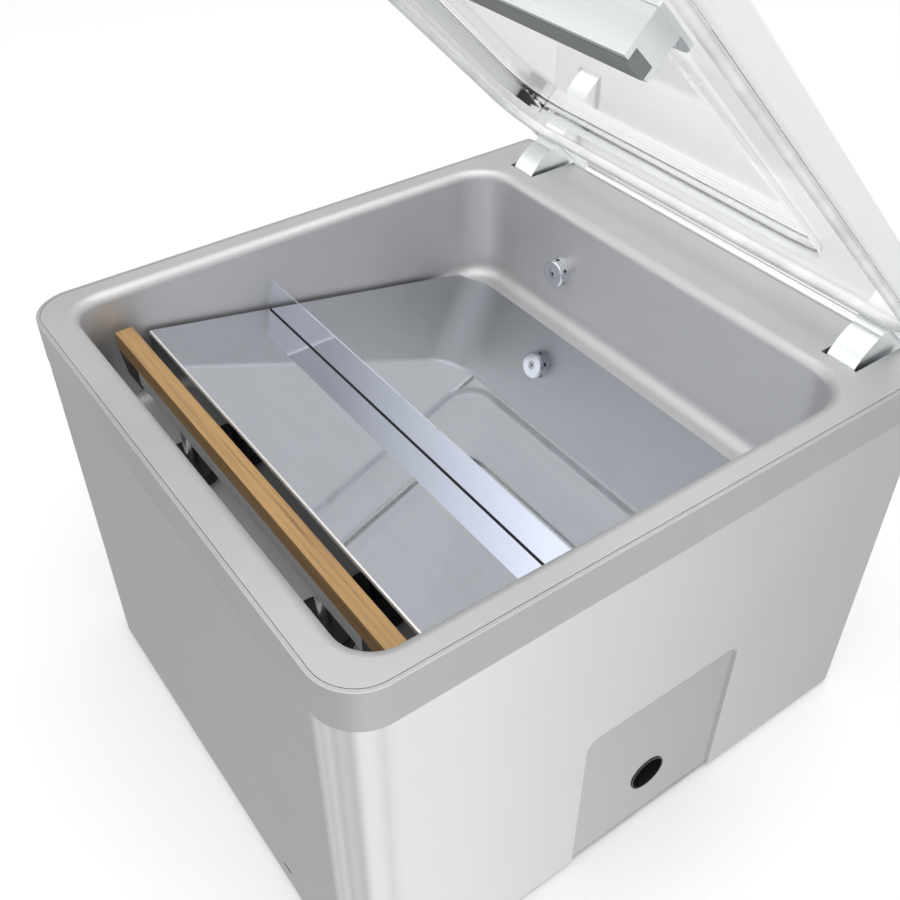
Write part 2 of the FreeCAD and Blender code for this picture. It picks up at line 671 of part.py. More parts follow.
def make_insert_plate():
    down = PLATE_SHEET / math.cos(PLATE_SLOPE)
    leg_z = CHAMBER_FLOOR_Z + 0.4
    inner_y = PLATE_FRONT_Y + PLATE_SHEET
    profile = [(PLATE_FRONT_Y, PLATE_FRONT_Z), (PLATE_REAR_Y, plate_z(PLATE_REAR_Y)),
               (PLATE_REAR_Y, plate_z(PLATE_REAR_Y) - down), (inner_y, plate_z(inner_y) - down),
               (inner_y, leg_z), (PLATE_FRONT_Y, leg_z)]
    plate = prism_x(profile, -PLATE_HALF_X, PLATE_HALF_X)
    bend = [e for e in plate.Edges if is_along(e, X_AXIS)
            and abs(e.BoundBox.Center.y - PLATE_FRONT_Y) < 1e-4 and abs(e.BoundBox.Center.z - PLATE_FRONT_Z) < 1e-4]
    plate = plate.makeFillet(PLATE_BEND_R, bend)
    past_x = PLATE_HALF_X + 1
    past_y = PLATE_REAR_Y + 5
    outline = [V(PLATE_CORNER_X, PLATE_REAR_Y + 0.001, 0), V(past_x, PLATE_CORNER_Y, 0),
               V(past_x, past_y, 0), V(PLATE_CORNER_X, past_y, 0)]
    corner = Part.Face(Part.makePolygon(outline + [outline[0]])).extrude(V(0, 0, DECK_Z))
    notch_y = PLATE_FRONT_Y - 5
    notch = [V(PLATE_HALF_X - LEG_NOTCH_X, notch_y, leg_z - 1), V(past_x, notch_y, leg_z - 1),
             V(past_x, notch_y, leg_z + LEG_NOTCH_Z)]
    leg_corner = Part.Face(Part.makePolygon(notch + [notch[0]])).extrude(V(0, 10, 0))
    cuts = [corner, mirrored(corner), leg_corner, mirrored(leg_corner)]
    return plate.cut(group(cuts))


RAIL_FOOT_HEIGHT = 1.2
RAIL_FOOT_HALF_Y = 1.0
RAIL_GAP = 0.1


def on_plate(shape):
    """Move a piece drawn about the origin to the stop rail's place on the sloping plate."""
    placed = shape.copy()
    placed.rotate(V(0, 0, 0), X_AXIS, -math.degrees(PLATE_SLOPE))
    placed.translate(V(0, RAIL_FOOT_Y, plate_z(RAIL_FOOT_Y)))
    return placed


def make_stop_rail():
    rail = box(-PLATE_HALF_X, PLATE_HALF_X, -RAIL_SHEET / 2, RAIL_SHEET / 2, RAIL_FOOT_HEIGHT, RAIL_HEIGHT)
    return on_plate(rail)


def make_stop_rail_foot():
    foot = box(-PLATE_HALF_X + 1, PLATE_HALF_X - 1, -RAIL_FOOT_HALF_Y, RAIL_FOOT_HALF_Y,
               RAIL_GAP, RAIL_FOOT_HEIGHT)
    return on_plate(foot)


# ---------------------------------------------------------------- lid
def make_lid_slab():
    top = LID_UNDERSIDE_Z + LID_THICKNESS
    slab = rounded_block(LID_HALF_X, LID_FRONT_Y, LID_BACK_Y, LID_UNDERSIDE_Z, top, LID_FRONT_R, LID_BACK_R)
    slab = slab.makeFillet(LID_EDGE_R, edges_at_z(slab, LID_UNDERSIDE_Z))
    slab = slab.makeFillet(LID_EDGE_R * 0.8, edges_at_z(slab, top))
    recess = rounded_block(LID_RECESS_HALF_X, LID_RECESS_FRONT_Y, LID_RECESS_BACK_Y, LID_UNDERSIDE_Z - 1,
                           LID_UNDERSIDE_Z + LID_RECESS_DEPTH, LID_RECESS_R, LID_RECESS_R)
    recess = recess.makeFillet(2.0, edges_at_z(recess, LID_UNDERSIDE_Z + LID_RECESS_DEPTH))
    return opened(slab.cut(recess))


def make_lid_gasket():
    half = GASKET_WIDTH / 2
    bottom = DECK_Z + GASKET_GAP
    outer = rounded_block(GASKET_HALF_X + half, GASKET_FRONT_Y - half, GASKET_BACK_Y + half, bottom,
                          LID_UNDERSIDE_Z, GASKET_FRONT_R + half, GASKET_BACK_R + half)
    inner = rounded_block(GASKET_HALF_X - half, GASKET_FRONT_Y + half, GASKET_BACK_Y - half, bottom - 1,
                          LID_UNDERSIDE_Z + 1, GASKET_FRONT_R - half, GASKET_BACK_R - half)
    ring = outer.cut(inner)
    return opened(ring.makeFillet(GASKET_EDGE_R, edges_at_z(ring, bottom)))


def make_counter_bar_holder():
    top = LID_UNDERSIDE_Z - HOLDER_TAB
    holder = box(-HOLDER_HALF_X, HOLDER_HALF_X, HOLDER_FRONT_Y, HOLDER_BACK_Y, HOLDER_BOTTOM_Z, top)
    long_edges = [e for e in holder.Edges if is_along(e, X_AXIS)]
    holder = holder.makeFillet(0.8, long_edges)
    centre_y = (HOLDER_FRONT_Y + HOLDER_BACK_Y) / 2
    channel = box(-HOLDER_HALF_X - 1, HOLDER_HALF_X + 1, centre_y - STRIP_WIDTH / 2, centre_y + STRIP_WIDTH / 2,
                  HOLDER_BOTTOM_Z - 1, HOLDER_BOTTOM_Z + STRIP_DEPTH)
    return opened(holder.cut(channel))


def make_silicone_strip():
    centre_y = (HOLDER_FRONT_Y + HOLDER_BACK_Y) / 2
    strip = box(-HOLDER_HALF_X, HOLDER_HALF_X, centre_y - STRIP_WIDTH / 2 + 0.2, centre_y + STRIP_WIDTH / 2 - 0.2,
                HOLDER_BOTTOM_Z - STRIP_PROUD, HOLDER_BOTTOM_Z + STRIP_DEPTH)
    low = [e for e in strip.Edges if is_along(e, X_AXIS) and e.BoundBox.Center.z < HOLDER_BOTTOM_Z]
    return opened(strip.makeFillet(1.2, low))


TAB_INNER_X = 192.5
TAB_OUTER_X = 216.5
TAB_END_Y = -168.0
TAB_SCREW_Y = -178.0


def make_holder_tabs():
    half = (TAB_OUTER_X - TAB_INNER_X) / 2
    tab = rounded_block(half, HOLDER_FRONT_Y, TAB_END_Y, LID_UNDERSIDE_Z - HOLDER_TAB, LID_UNDERSIDE_Z, 1.0, 11.5)
    tab.translate(V((TAB_INNER_X + TAB_OUTER_X) / 2, 0, 0))
    hole = rod(V((TAB_INNER_X + TAB_OUTER_X) / 2, TAB_SCREW_Y, 0),
               V((TAB_INNER_X + TAB_OUTER_X) / 2, TAB_SCREW_Y, DECK_Z + 50), 2.6)
    tab = tab.cut(hole)
    return opened(group([tab, mirrored(tab)]))


def make_holder_screws():
    x = (TAB_INNER_X + TAB_OUTER_X) / 2
    screws = []
    for side in (-1, 1):
        screws.append(screw_z(side * x, TAB_SCREW_Y, LID_UNDERSIDE_Z - HOLDER_TAB, 4.6, 2.4, 2.5, 3.0, -1))
    return opened(group(screws))


def make_hinge_arm():
    """Right-hand arm: a quarter-round cheek on the hinge pin, with a flat foot under the lid."""
    def on_arc(angle_deg):
        turn = math.radians(angle_deg)
        return V(ARM_INNER_X, HINGE_Y + ARM_ARC_R * math.cos(turn), HINGE_Z + ARM_ARC_R * math.sin(turn))

    top = LID_UNDERSIDE_Z
    arc_top_deg = 180.0 - math.degrees(math.acos((HINGE_Y - ARM_FRONT_Y) / ARM_ARC_R))
    start = on_arc(arc_top_deg)
    middle = on_arc((arc_top_deg + ARM_ARC_END_DEG) / 2)
    end = on_arc(ARM_ARC_END_DEG)
    hub_low = V(ARM_INNER_X, HINGE_Y, HINGE_Z - HUB_R)
    hub_back = V(ARM_INNER_X, HINGE_Y + HUB_R, HINGE_Z)
    hub_mid = V(ARM_INNER_X, HINGE_Y + HUB_R * math.sqrt(0.5), HINGE_Z - HUB_R * math.sqrt(0.5))
    top_back = V(ARM_INNER_X, HINGE_Y + HUB_R, top)
    top_front = V(ARM_INNER_X, ARM_FRONT_Y, top)
    edges = [
        Part.Arc(start, middle, end).toShape(),
        Part.LineSegment(end, hub_low).toShape(),
        Part.Arc(hub_low, hub_mid, hub_back).toShape(),
        Part.LineSegment(hub_back, top_back).toShape(),
        Part.LineSegment(top_back, top_front).toShape(),
        Part.LineSegment(top_front, start).toShape(),
    ]
    cheek = Part.Face(Part.Wire(edges)).extrude(V(ARM_OUTER_X - ARM_INNER_X, 0, 0))
    foot_grow = 4.0
    foot = box(ARM_INNER_X - foot_grow, ARM_OUTER_X + foot_grow, ARM_FRONT_Y - 1.0, HINGE_Y + HUB_R, top - 3, top)
    pin = rod(V(0, HINGE_Y, HINGE_Z), V(BODY_HALF_X, HINGE_Y, HINGE_Z), HINGE_PIN_R + RUNNING_FIT)
    return clean(cheek.fuse(foot)).cut(pin)


SPRING_INNER_X = 126.0
SPRING_OUTER_X = 166.0
PIN_INNER_X = 118.0
PIN_OUTER_X = 217.0
EAR_SHEET = 4.0
EAR_FRONT_Y = 238.0
EAR_BACK_Y = 261.4
SPRING_R = 6.3
SPRING_PIN_R = 3.5


def make_hinge_bracket():
    """Right-hand bracket under the deck, with three ears that carry the hinge pin."""
    top = DECK_Z - TUB_SHEET
    plates = []
    for x in (PIN_INNER_X + 2, SLOT_INNER_X - 6, SLOT_OUTER_X + 1):
        plates.append(box(x, x + EAR_SHEET, EAR_FRONT_Y, EAR_BACK_Y, HINGE_Z - 9, top))
    plates.append(box(PIN_INNER_X + 2, SLOT_INNER_X - 2, EAR_FRONT_Y, EAR_BACK_Y, top - 3, top))
    bracket = plates[0].fuse(plates[1:])
    outer_ear_link = box(SLOT_OUTER_X + 1, SLOT_OUTER_X + 18, EAR_FRONT_Y, EAR_BACK_Y, top - 3, top)
    front_link = box(PIN_INNER_X + 2, SLOT_OUTER_X + 18, SLOT_FRONT_Y - 7, SLOT_FRONT_Y - 2, top - 3, top)
    inner_link = box(SLOT_INNER_X - 22, SLOT_INNER_X - 2, SLOT_FRONT_Y - 7, EAR_FRONT_Y + 1, top - 3, top)
    outer_link = box(SLOT_OUTER_X + 1, SLOT_OUTER_X + 18, SLOT_FRONT_Y - 7, EAR_FRONT_Y + 1, top - 3, top)
    bracket = bracket.fuse([outer_ear_link, front_link, inner_link, outer_link])
    return clean(bracket.cut(hinge_pin(2)))


def hinge_pin(extra):
    """Right-hand pin, thinner where the torsion spring sits on it, made longer by extra at each end."""
    thick = rod(V(SPRING_OUTER_X + 1, HINGE_Y, HINGE_Z), V(PIN_OUTER_X + extra, HINGE_Y, HINGE_Z), HINGE_PIN_R)
    thin = rod(V(PIN_INNER_X - extra, HINGE_Y, HINGE_Z), V(SPRING_OUTER_X + 1, HINGE_Y, HINGE_Z), SPRING_PIN_R)
    return thick.fuse(thin)


def make_hinge_pins():
    return group([hinge_pin(0), mirrored(hinge_pin(0))])


def make_torsion_springs():
    right = tube(V(SPRING_INNER_X, HINGE_Y, HINGE_Z), V(SPRING_OUTER_X, HINGE_Y, HINGE_Z),
                 SPRING_R, SPRING_PIN_R + 0.3)
    return group([right, mirrored(right)])


# ---------------------------------------------------------------- controls on the left side
def make_soft_air_knob():
    outer_x = -BODY_HALF_X - KNOB_REACH
    inner_x = -BODY_HALF_X - 0.6
    knob = rod(V(outer_x, KNOB_Y, KNOB_Z), V(inner_x, KNOB_Y, KNOB_Z), KNOB_R)
    rim = [e for e in knob.Edges if abs(e.BoundBox.XMin - outer_x) < 1e-4 and abs(e.BoundBox.XMax - outer_x) < 1e-4]
    knob = knob.makeChamfer(1.0, rim)
    flutes = []
    flute_count = 16
    for index in range(flute_count):
        turn = 2 * math.pi * (index + 0.5) / flute_count
        y = KNOB_Y + (KNOB_R + 0.7) * math.cos(turn)
        z = KNOB_Z + (KNOB_R + 0.7) * math.sin(turn)
        flutes.append(rod(V(outer_x - 1, y, z), V(inner_x - 2.5, y, z), 1.4))
    marker = box(outer_x - 1, outer_x + 0.6, KNOB_Y - 0.7, KNOB_Y + 0.7, KNOB_Z + 3, KNOB_Z + KNOB_R + 1)
    stem = rod(V(inner_x, KNOB_Y, KNOB_Z), V(-229.5, KNOB_Y, KNOB_Z), KNOB_STEM_R)
    return clean(knob.cut(group(flutes + [marker])).fuse(stem))


def make_soft_air_valve():
    body = box(-BODY_HALF_X + TUB_SHEET + 0.1, -226.0, KNOB_Y - 12, KNOB_Y + 12, KNOB_Z - 20, KNOB_Z + 3.8)
    bore = rod(V(-BODY_HALF_X, KNOB_Y, KNOB_Z), V(-229.0, KNOB_Y, KNOB_Z), KNOB_STEM_R + RUNNING_FIT)
    return body.cut(bore)


BUTTON_R = 7.0
BUTTON_FIT = 0.25
BUTTON_TRAVEL = 1.5
BUTTON_Z = 280.0
PANEL_OUT_X = -BODY_HALF_X
PANEL_IN_X = -WALL_INNER_X + 1.6
BUTTONS = [("start_stop_button", -185.0), ("program_button", -152.0), ("minus_button", -119.0),
           ("plus_button", -86.0)]
WINDOW_FRONT_Y = -188.0
WINDOW_BACK_Y = -83.0
WINDOW_LOW_Z = 297.0
WINDOW_HIGH_Z = 323.0


def make_control_panel():
    bezel = rounded_plate_x(PANEL_OUT_X, -WALL_INNER_X, PANEL_FRONT_Y + PANEL_FIT, PANEL_BACK_Y - PANEL_FIT,
                            PANEL_LOW_Z + PANEL_FIT, PANEL_HIGH_Z - PANEL_FIT, PANEL_R - PANEL_FIT)
    backing = box(-WALL_INNER_X, PANEL_IN_X, PANEL_FRONT_Y - 6, PANEL_BACK_Y + 6, PANEL_LOW_Z - 5, PANEL_HIGH_Z + 5)
    cuts = []
    for _, y in BUTTONS:
        cuts.append(rod(V(PANEL_OUT_X - 1, y, BUTTON_Z), V(PANEL_IN_X + 1, y, BUTTON_Z), BUTTON_R + BUTTON_FIT))
    cuts.append(box(PANEL_OUT_X - 1, PANEL_IN_X + 1, WINDOW_FRONT_Y, WINDOW_BACK_Y, WINDOW_LOW_Z, WINDOW_HIGH_Z))
    return clean(bezel.fuse(backing).cut(group(cuts)))


def make_display_window():
    return box(PANEL_OUT_X + 0.4, PANEL_IN_X, WINDOW_FRONT_Y + 0.1, WINDOW_BACK_Y - 0.1,
               WINDOW_LOW_Z + 0.1, WINDOW_HIGH_Z - 0.1)


def make_button(y):
    outer_x = PANEL_OUT_X - 0.9
    cap = rod(V(outer_x, y, BUTTON_Z), V(PANEL_IN_X - 1.0, y, BUTTON_Z), BUTTON_R)
    rim = [e for e in cap.Edges if abs(e.BoundBox.XMin - outer_x) < 1e-4 and abs(e.BoundBox.XMax - outer_x) < 1e-4]
    cap = cap.makeFillet(0.8, rim)
    stem = rod(V(PANEL_IN_X - 1.0, y, BUTTON_Z), V(BOARD_X - 2.2 - BUTTON_TRAVEL, y, BUTTON_Z), 2.0)
    return clean(cap.fuse(stem))


BOARD_X = -234.0


def make_control_board():
    board = box(BOARD_X, BOARD_X + 1.6, PANEL_FRONT_Y + 2, PANEL_BACK_Y - 2, PANEL_LOW_Z - 4, PANEL_HIGH_Z + 4)
    pieces = []
    for _, y in BUTTONS:
        pieces.append(box(BOARD_X - 2.0, BOARD_X, y - 3, y + 3, BUTTON_Z - 3, BUTTON_Z + 3))
    for index in range(4):
        z = 268.0 + 16.0 * index
        pieces.append(box(BOARD_X - 4.0, BOARD_X, -72.0, -58.0, z, z + 10))
    pieces.append(box(BOARD_X - 3.0, BOARD_X, WINDOW_FRONT_Y + 4, WINDOW_BACK_Y - 4,
                      WINDOW_LOW_Z + 2, WINDOW_HIGH_Z - 2))
    return clean(board.fuse(pieces))


# ---------------------------------------------------------------- machinery under the chamber
PUMP_X0 = 60.0
PUMP_X1 = 205.0
PUMP_HALF_Y = 62.0
PUMP_LOW_Z = 22.0
PUMP_TOP_Z = 162.0
PUMP_BORE_R = 44.0
ROTOR_R = 36.0
MOTOR_X0 = -150.0
MOTOR_X1 = 52.0
MOTOR_R = 68.0
STATOR_IN_R = 40.0
MOTOR_ROTOR_R = 39.2


def at_shaft(x):
    return V(x, SHAFT_Y, SHAFT_Z)


def make_pump_casing():
    body = box(PUMP_X0, PUMP_X1, SHAFT_Y - PUMP_HALF_Y, SHAFT_Y + PUMP_HALF_Y, PUMP_LOW_Z, PUMP_TOP_Z)
    body = body.makeFillet(10.0, [e for e in body.Edges if is_along(e, X_AXIS)])
    fins = []
    for index in range(8):
        z = PUMP_LOW_Z + 18 + 14 * index
        for side in (-1, 1):
            y_pair = sorted((SHAFT_Y + side * (PUMP_HALF_Y - 1), SHAFT_Y + side * (PUMP_HALF_Y + 8)))
            fins.append(box(PUMP_X0 + 8, PUMP_X1 - 8, y_pair[0], y_pair[1], z, z + 3))
    body = body.fuse(fins)
    chamber_centre = V(0, 0, PUMP_BORE_R - ROTOR_R - 0.5)
    bore = rod(at_shaft(PUMP_X0 + 14) + chamber_centre, at_shaft(PUMP_X1 - 14) + chamber_centre, PUMP_BORE_R)
    shaft_bore = rod(at_shaft(PUMP_X0 - 1), at_shaft(PUMP_X1 - 8), SHAFT_R + RUNNING_FIT)
    return clean(body.cut(bore.fuse(shaft_bore)))


def make_pump_rotor():
    return tube(at_shaft(PUMP_X0 + 14.2), at_shaft(PUMP_X1 - 14.2), ROTOR_R, SHAFT_R)


def make_drive_shaft():
    return rod(at_shaft(MOTOR_X0 - 26), at_shaft(PUMP_X1 - 9), SHAFT_R)


def make_motor_casing():
    shell = tube(at_shaft(MOTOR_X0), at_shaft(MOTOR_X1), MOTOR_R, MOTOR_R - 6)
    bells = [tube(at_shaft(MOTOR_X0), at_shaft(MOTOR_X0 + 6), MOTOR_R - 5, SHAFT_R + RUNNING_FIT),
             tube(at_shaft(MOTOR_X1 - 6), at_shaft(MOTOR_X1), MOTOR_R - 5, SHAFT_R + RUNNING_FIT)]
    fins = []
    fin_count = 24
    for index in range(fin_count):
        fin = box(MOTOR_X0 + 12, MOTOR_X1 - 12, SHAFT_Y - 1.2, SHAFT_Y + 1.2, SHAFT_Z + MOTOR_R - 1,
                  SHAFT_Z + MOTOR_R + 6)
        fin.rotate(at_shaft(0), X_AXIS, 360.0 * index / fin_count)
        fins.append(fin)
    flange = box(MOTOR_X1, PUMP_X0, SHAFT_Y - 40, SHAFT_Y + 40, SHAFT_Z - 40, SHAFT_Z + 40)
    flange = flange.cut(rod(at_shaft(MOTOR_X1 - 1), at_shaft(PUMP_X0 + 1), SHAFT_R + 6))
    return clean(shell.fuse(bells + fins + [flange]))


def make_motor_stator():
    return tube(at_shaft(MOTOR_X0 + 30), at_shaft(MOTOR_X1 - 30), MOTOR_R - 6, STATOR_IN_R)


def make_motor_rotor():
    return tube(at_shaft(MOTOR_X0 + 30), at_shaft(MOTOR_X1 - 30), MOTOR_ROTOR_R, SHAFT_R)


def make_motor_fan():
    hub = rod(at_shaft(MOTOR_X0 - 22), at_shaft(MOTOR_X0 - 6), 18.0)
    blades = []
    for index in range(8):
        blade = box(MOTOR_X0 - 20, MOTOR_X0 - 6, SHAFT_Y - 1, SHAFT_Y + 1, SHAFT_Z + 16, SHAFT_Z + 58)
        blade.rotate(at_shaft(0), X_AXIS, 45.0 * index)
        blades.append(blade)
    fan = hub.fuse(blades)
    return clean(fan.cut(rod(at_shaft(MOTOR_X0 - 30), at_shaft(MOTOR_X0), SHAFT_R)))


def make_fan_cover():
    start = at_shaft(MOTOR_X0 - 30)
    end = at_shaft(MOTOR_X0)
    cover = rod(start, end, MOTOR_R).cut(rod(start + V(2, 0, 0), end + V(1, 0, 0), MOTOR_R - 2))
    holes = []
    for ring_r in (24.0, 38.0, 52.0):
        count = int(ring_r / 3)
        for index in range(count):
            turn = 2 * math.pi * index / count
            offset = V(0, ring_r * math.cos(turn), ring_r * math.sin(turn))
            holes.append(rod(start + offset - V(1, 0, 0), start + offset + V(3, 0, 0), 3.5))
    return cover.cut(group(holes))


def make_rubber_mounts():
    mounts = []
    for x in (PUMP_X0 + 20, PUMP_X1 - 20):
        for y in (SHAFT_Y - 42, SHAFT_Y + 42):
            mounts.append(rod(V(x, y, FOOT_HEIGHT + BASE_SHEET), V(x, y, PUMP_LOW_Z), 12.0))
    return group(mounts)


TANK_HEIGHT = 40.0
HOSE_R = 9.0


def make_oil_separator():
    top = PUMP_TOP_Z + TANK_HEIGHT
    tank = box(PUMP_X0 + 6, PUMP_X1 - 6, SHAFT_Y - 52, SHAFT_Y + 52, PUMP_TOP_Z, top)
    upper_edges = [e for e in tank.Edges if is_along(e, X_AXIS) and e.BoundBox.Center.z > top - 1]
    tank = tank.makeFillet(9.0, upper_edges)
    filler = rod(V(PUMP_X1 - 30, SHAFT_Y, top), V(PUMP_X1 - 30, SHAFT_Y, top + 8), 12.0)
    return clean(tank.fuse(filler))


VALVE_X0 = -150.0
VALVE_X1 = -62.0
VALVE_BACK_Y = 240.0


def make_valve_block():
    front = CHAMBER_BACK_Y + TUB_SHEET
    block = box(VALVE_X0, VALVE_X1, front, VALVE_BACK_Y, 285, 332)
    port = rod(V(SUCTION_X, front - 1, SUCTION_Z), V(SUCTION_X, front + 26, SUCTION_Z), SUCTION_PORT_R)
    block = block.cut(port)
    coils = [rod(V(x, 218, 240), V(x, 218, 285), 11.0) for x in (-134.0, -106.0, -78.0)]
    gauge = rod(V(VALVE_X0 - 16, 218, 308), V(VALVE_X0, 218, 308), 9.0)
    return clean(block.fuse(coils + [gauge]))


def tangent_tube(points, radius):
    """Round tube along straight runs joined by tangent arcs."""
    edges = []
    start = points[0]
    for index in range(1, len(points) - 1):
        before = points[index] - points[index - 1]
        after = points[index + 1] - points[index]
        half_turn = before.getAngle(after) / 2
        reach = 0.45 * min(before.Length, after.Length)
        arc_r = reach / math.tan(half_turn)
        print("hose arc radius", round(arc_r, 1))
        into = points[index] - before.normalize() * reach
        out = points[index] + after.normalize() * reach
        inward = (into + out) * 0.5 - points[index]
        depth = arc_r / math.cos(half_turn) - arc_r
        middle = points[index] + inward.normalize() * depth
        edges.append(Part.LineSegment(start, into).toShape())
        edges.append(Part.Arc(into, middle, out).toShape())
        start = out
    edges.append(Part.LineSegment(start, points[-1]).toShape())
    path = Part.Wire(edges)
    first = edges[0]
    heading = first.Vertexes[-1].Point - first.Vertexes[0].Point
    ring = Part.Wire(Part.Circle(points[0], heading, radius).toShape())
    return path.makePipeShell([ring], True, True)


def make_vacuum_hose():
    top = PUMP_TOP_Z + TANK_HEIGHT
    route = [V(95, SHAFT_Y, top), V(95, SHAFT_Y, 238), V(72, 130, 238), V(25, 222, 242), V(-2, 222, 308),
             V(VALVE_X1, 222, 308)]
    return tangent_tube(route, HOSE_R)


TRANSFORMER_X = -150.0
TRANSFORMER_Y = -170.0


def make_transformer_core():
    floor = FOOT_HEIGHT + BASE_SHEET
    core = box(TRANSFORMER_X - 55, TRANSFORMER_X + 55, TRANSFORMER_Y - 24, TRANSFORMER_Y + 24, floor, floor + 92)
    windows = []
    for side in (-1, 1):
        x_pair = sorted((TRANSFORMER_X + side * 18, TRANSFORMER_X + side * 38))
        windows.append(box(x_pair[0], x_pair[1], TRANSFORMER_Y - 30, TRANSFORMER_Y + 30, floor + 18, floor + 74))
    return core.cut(group(windows))


def make_transformer_coil():
    floor = FOOT_HEIGHT + BASE_SHEET
    coil = box(TRANSFORMER_X - 37, TRANSFORMER_X + 37, TRANSFORMER_Y - 40, TRANSFORMER_Y + 40, floor + 19, floor + 73)
    coil = coil.makeFillet(8.0, [e for e in coil.Edges if is_along(e, Z_AXIS)])
    hole = box(TRANSFORMER_X - 18, TRANSFORMER_X + 18, TRANSFORMER_Y - 24, TRANSFORMER_Y + 24, floor, floor + 92)
    return coil.cut(hole)


# ---------------------------------------------------------------- write every node
def main():
    os.makedirs("parts", exist_ok=True)
    save("chamber_tub", make_chamber_tub())
    save("deck_skirt", make_deck_skirt())
    save("housing_shell", make_housing_shell())
    save("service_hatch", make_service_hatch())
    save("hatch_finger_cup", make_hatch_finger_cup())
    save("base_plate", make_base_plate())
    save("rubber_feet", make_rubber_feet())
    save("back_panel", make_back_panel())
    save("machine_screws", group(make_foot_screws() + make_back_panel_screws() + [suction_cap_screw()]))
    save("power_inlet", make_power_inlet())
    save("inlet_pins", make_inlet_pins())
    save("main_switch_frame", make_main_switch_frame())
    save("main_switch_rocker", make_main_switch_rocker())
    save("cooling_fan_frame", make_fan_frame())
    save("cooling_fan_impeller", make_fan_impeller())
    save("suction_cap", make_suction_cap())
    lift_base = make_lift_base()
    save("lift_cylinders", group([lift_base, mirrored(lift_base)]))
    save("lift_rods", make_lift_rods())
    save("seal_bar_carrier", make_seal_bar_carrier())
    save("seal_bar_body", make_seal_bar_body())
    save("heating_band", make_heating_band())
    save("seal_tape", make_seal_tape())
    save("contact_blocks", make_contact_blocks())
    save("insert_plate", make_insert_plate())
    save("stop_rail", make_stop_rail())
    save("stop_rail_foot", make_stop_rail_foot())
    save("lid_slab", make_lid_slab())
    save("lid_gasket", make_lid_gasket())
    save("counter_bar_holder", make_counter_bar_holder())
    save("silicone_strip", make_silicone_strip())
    save("holder_tabs", make_holder_tabs())
    save("holder_screws", make_holder_screws())
    arm = make_hinge_arm()
    save("hinge_arm_right", opened(arm))
    save("hinge_arm_left", opened(mirrored(arm)))
    bracket = make_hinge_bracket()
    save("hinge_brackets", group([bracket, mirrored(bracket)]))
    save("hinge_pins", make_hinge_pins())
    save("torsion_springs", make_torsion_springs())
    save("soft_air_knob", make_soft_air_knob())
    save("soft_air_valve", make_soft_air_valve())
    save("control_panel", make_control_panel())
    save("display_window", make_display_window())
    for name, y in BUTTONS:
        save(name, make_button(y))
    save("control_board", make_control_board())
    save("pump_casing", make_pump_casing())
    save("pump_rotor", make_pump_rotor())
    save("drive_shaft", make_drive_shaft())
    save("motor_casing", make_motor_casing())
    save("motor_stator", make_motor_stator())
    save("motor_rotor", make_motor_rotor())
    save("motor_fan", make_motor_fan())
    save("fan_cover", make_fan_cover())
    save("rubber_mounts", make_rubber_mounts())
    save("oil_separator", make_oil_separator())
    save("valve_block", make_valve_block())
    save("vacuum_hose", make_vacuum_hose())
    save("transformer_core", make_transformer_core())
    save("transformer_coil", make_transformer_coil())


main()
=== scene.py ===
import json
import math

import bmesh
import bpy
from mathutils import Matrix, Vector


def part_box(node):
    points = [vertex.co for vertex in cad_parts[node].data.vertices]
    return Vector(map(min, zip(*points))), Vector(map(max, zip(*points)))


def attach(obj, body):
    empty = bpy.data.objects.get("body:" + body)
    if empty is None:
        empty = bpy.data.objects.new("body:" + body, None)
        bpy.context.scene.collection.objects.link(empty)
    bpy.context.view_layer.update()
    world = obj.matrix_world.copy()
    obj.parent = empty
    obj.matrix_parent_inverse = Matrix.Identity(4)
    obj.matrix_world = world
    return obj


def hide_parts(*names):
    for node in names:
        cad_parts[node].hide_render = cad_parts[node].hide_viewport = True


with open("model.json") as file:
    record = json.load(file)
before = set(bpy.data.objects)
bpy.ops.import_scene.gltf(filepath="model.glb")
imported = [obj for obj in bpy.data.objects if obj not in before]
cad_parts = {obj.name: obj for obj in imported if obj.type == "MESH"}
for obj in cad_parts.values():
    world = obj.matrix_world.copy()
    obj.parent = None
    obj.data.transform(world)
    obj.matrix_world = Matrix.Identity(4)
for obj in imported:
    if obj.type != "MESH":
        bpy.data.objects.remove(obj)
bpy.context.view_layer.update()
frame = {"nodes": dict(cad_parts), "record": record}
NODES = frame["nodes"]
MM = 0.001


# ---------------------------------------------------------------- shading of the carried-over nodes
def smooth_by_angle(obj, degrees=32.0):
    """Smooth shading with sharp edges kept where faces meet steeply."""
    mesh = obj.data
    mesh.shade_smooth()
    mesh.set_sharp_from_angle(angle=math.radians(degrees))


for node in NODES.values():
    smooth_by_angle(node)


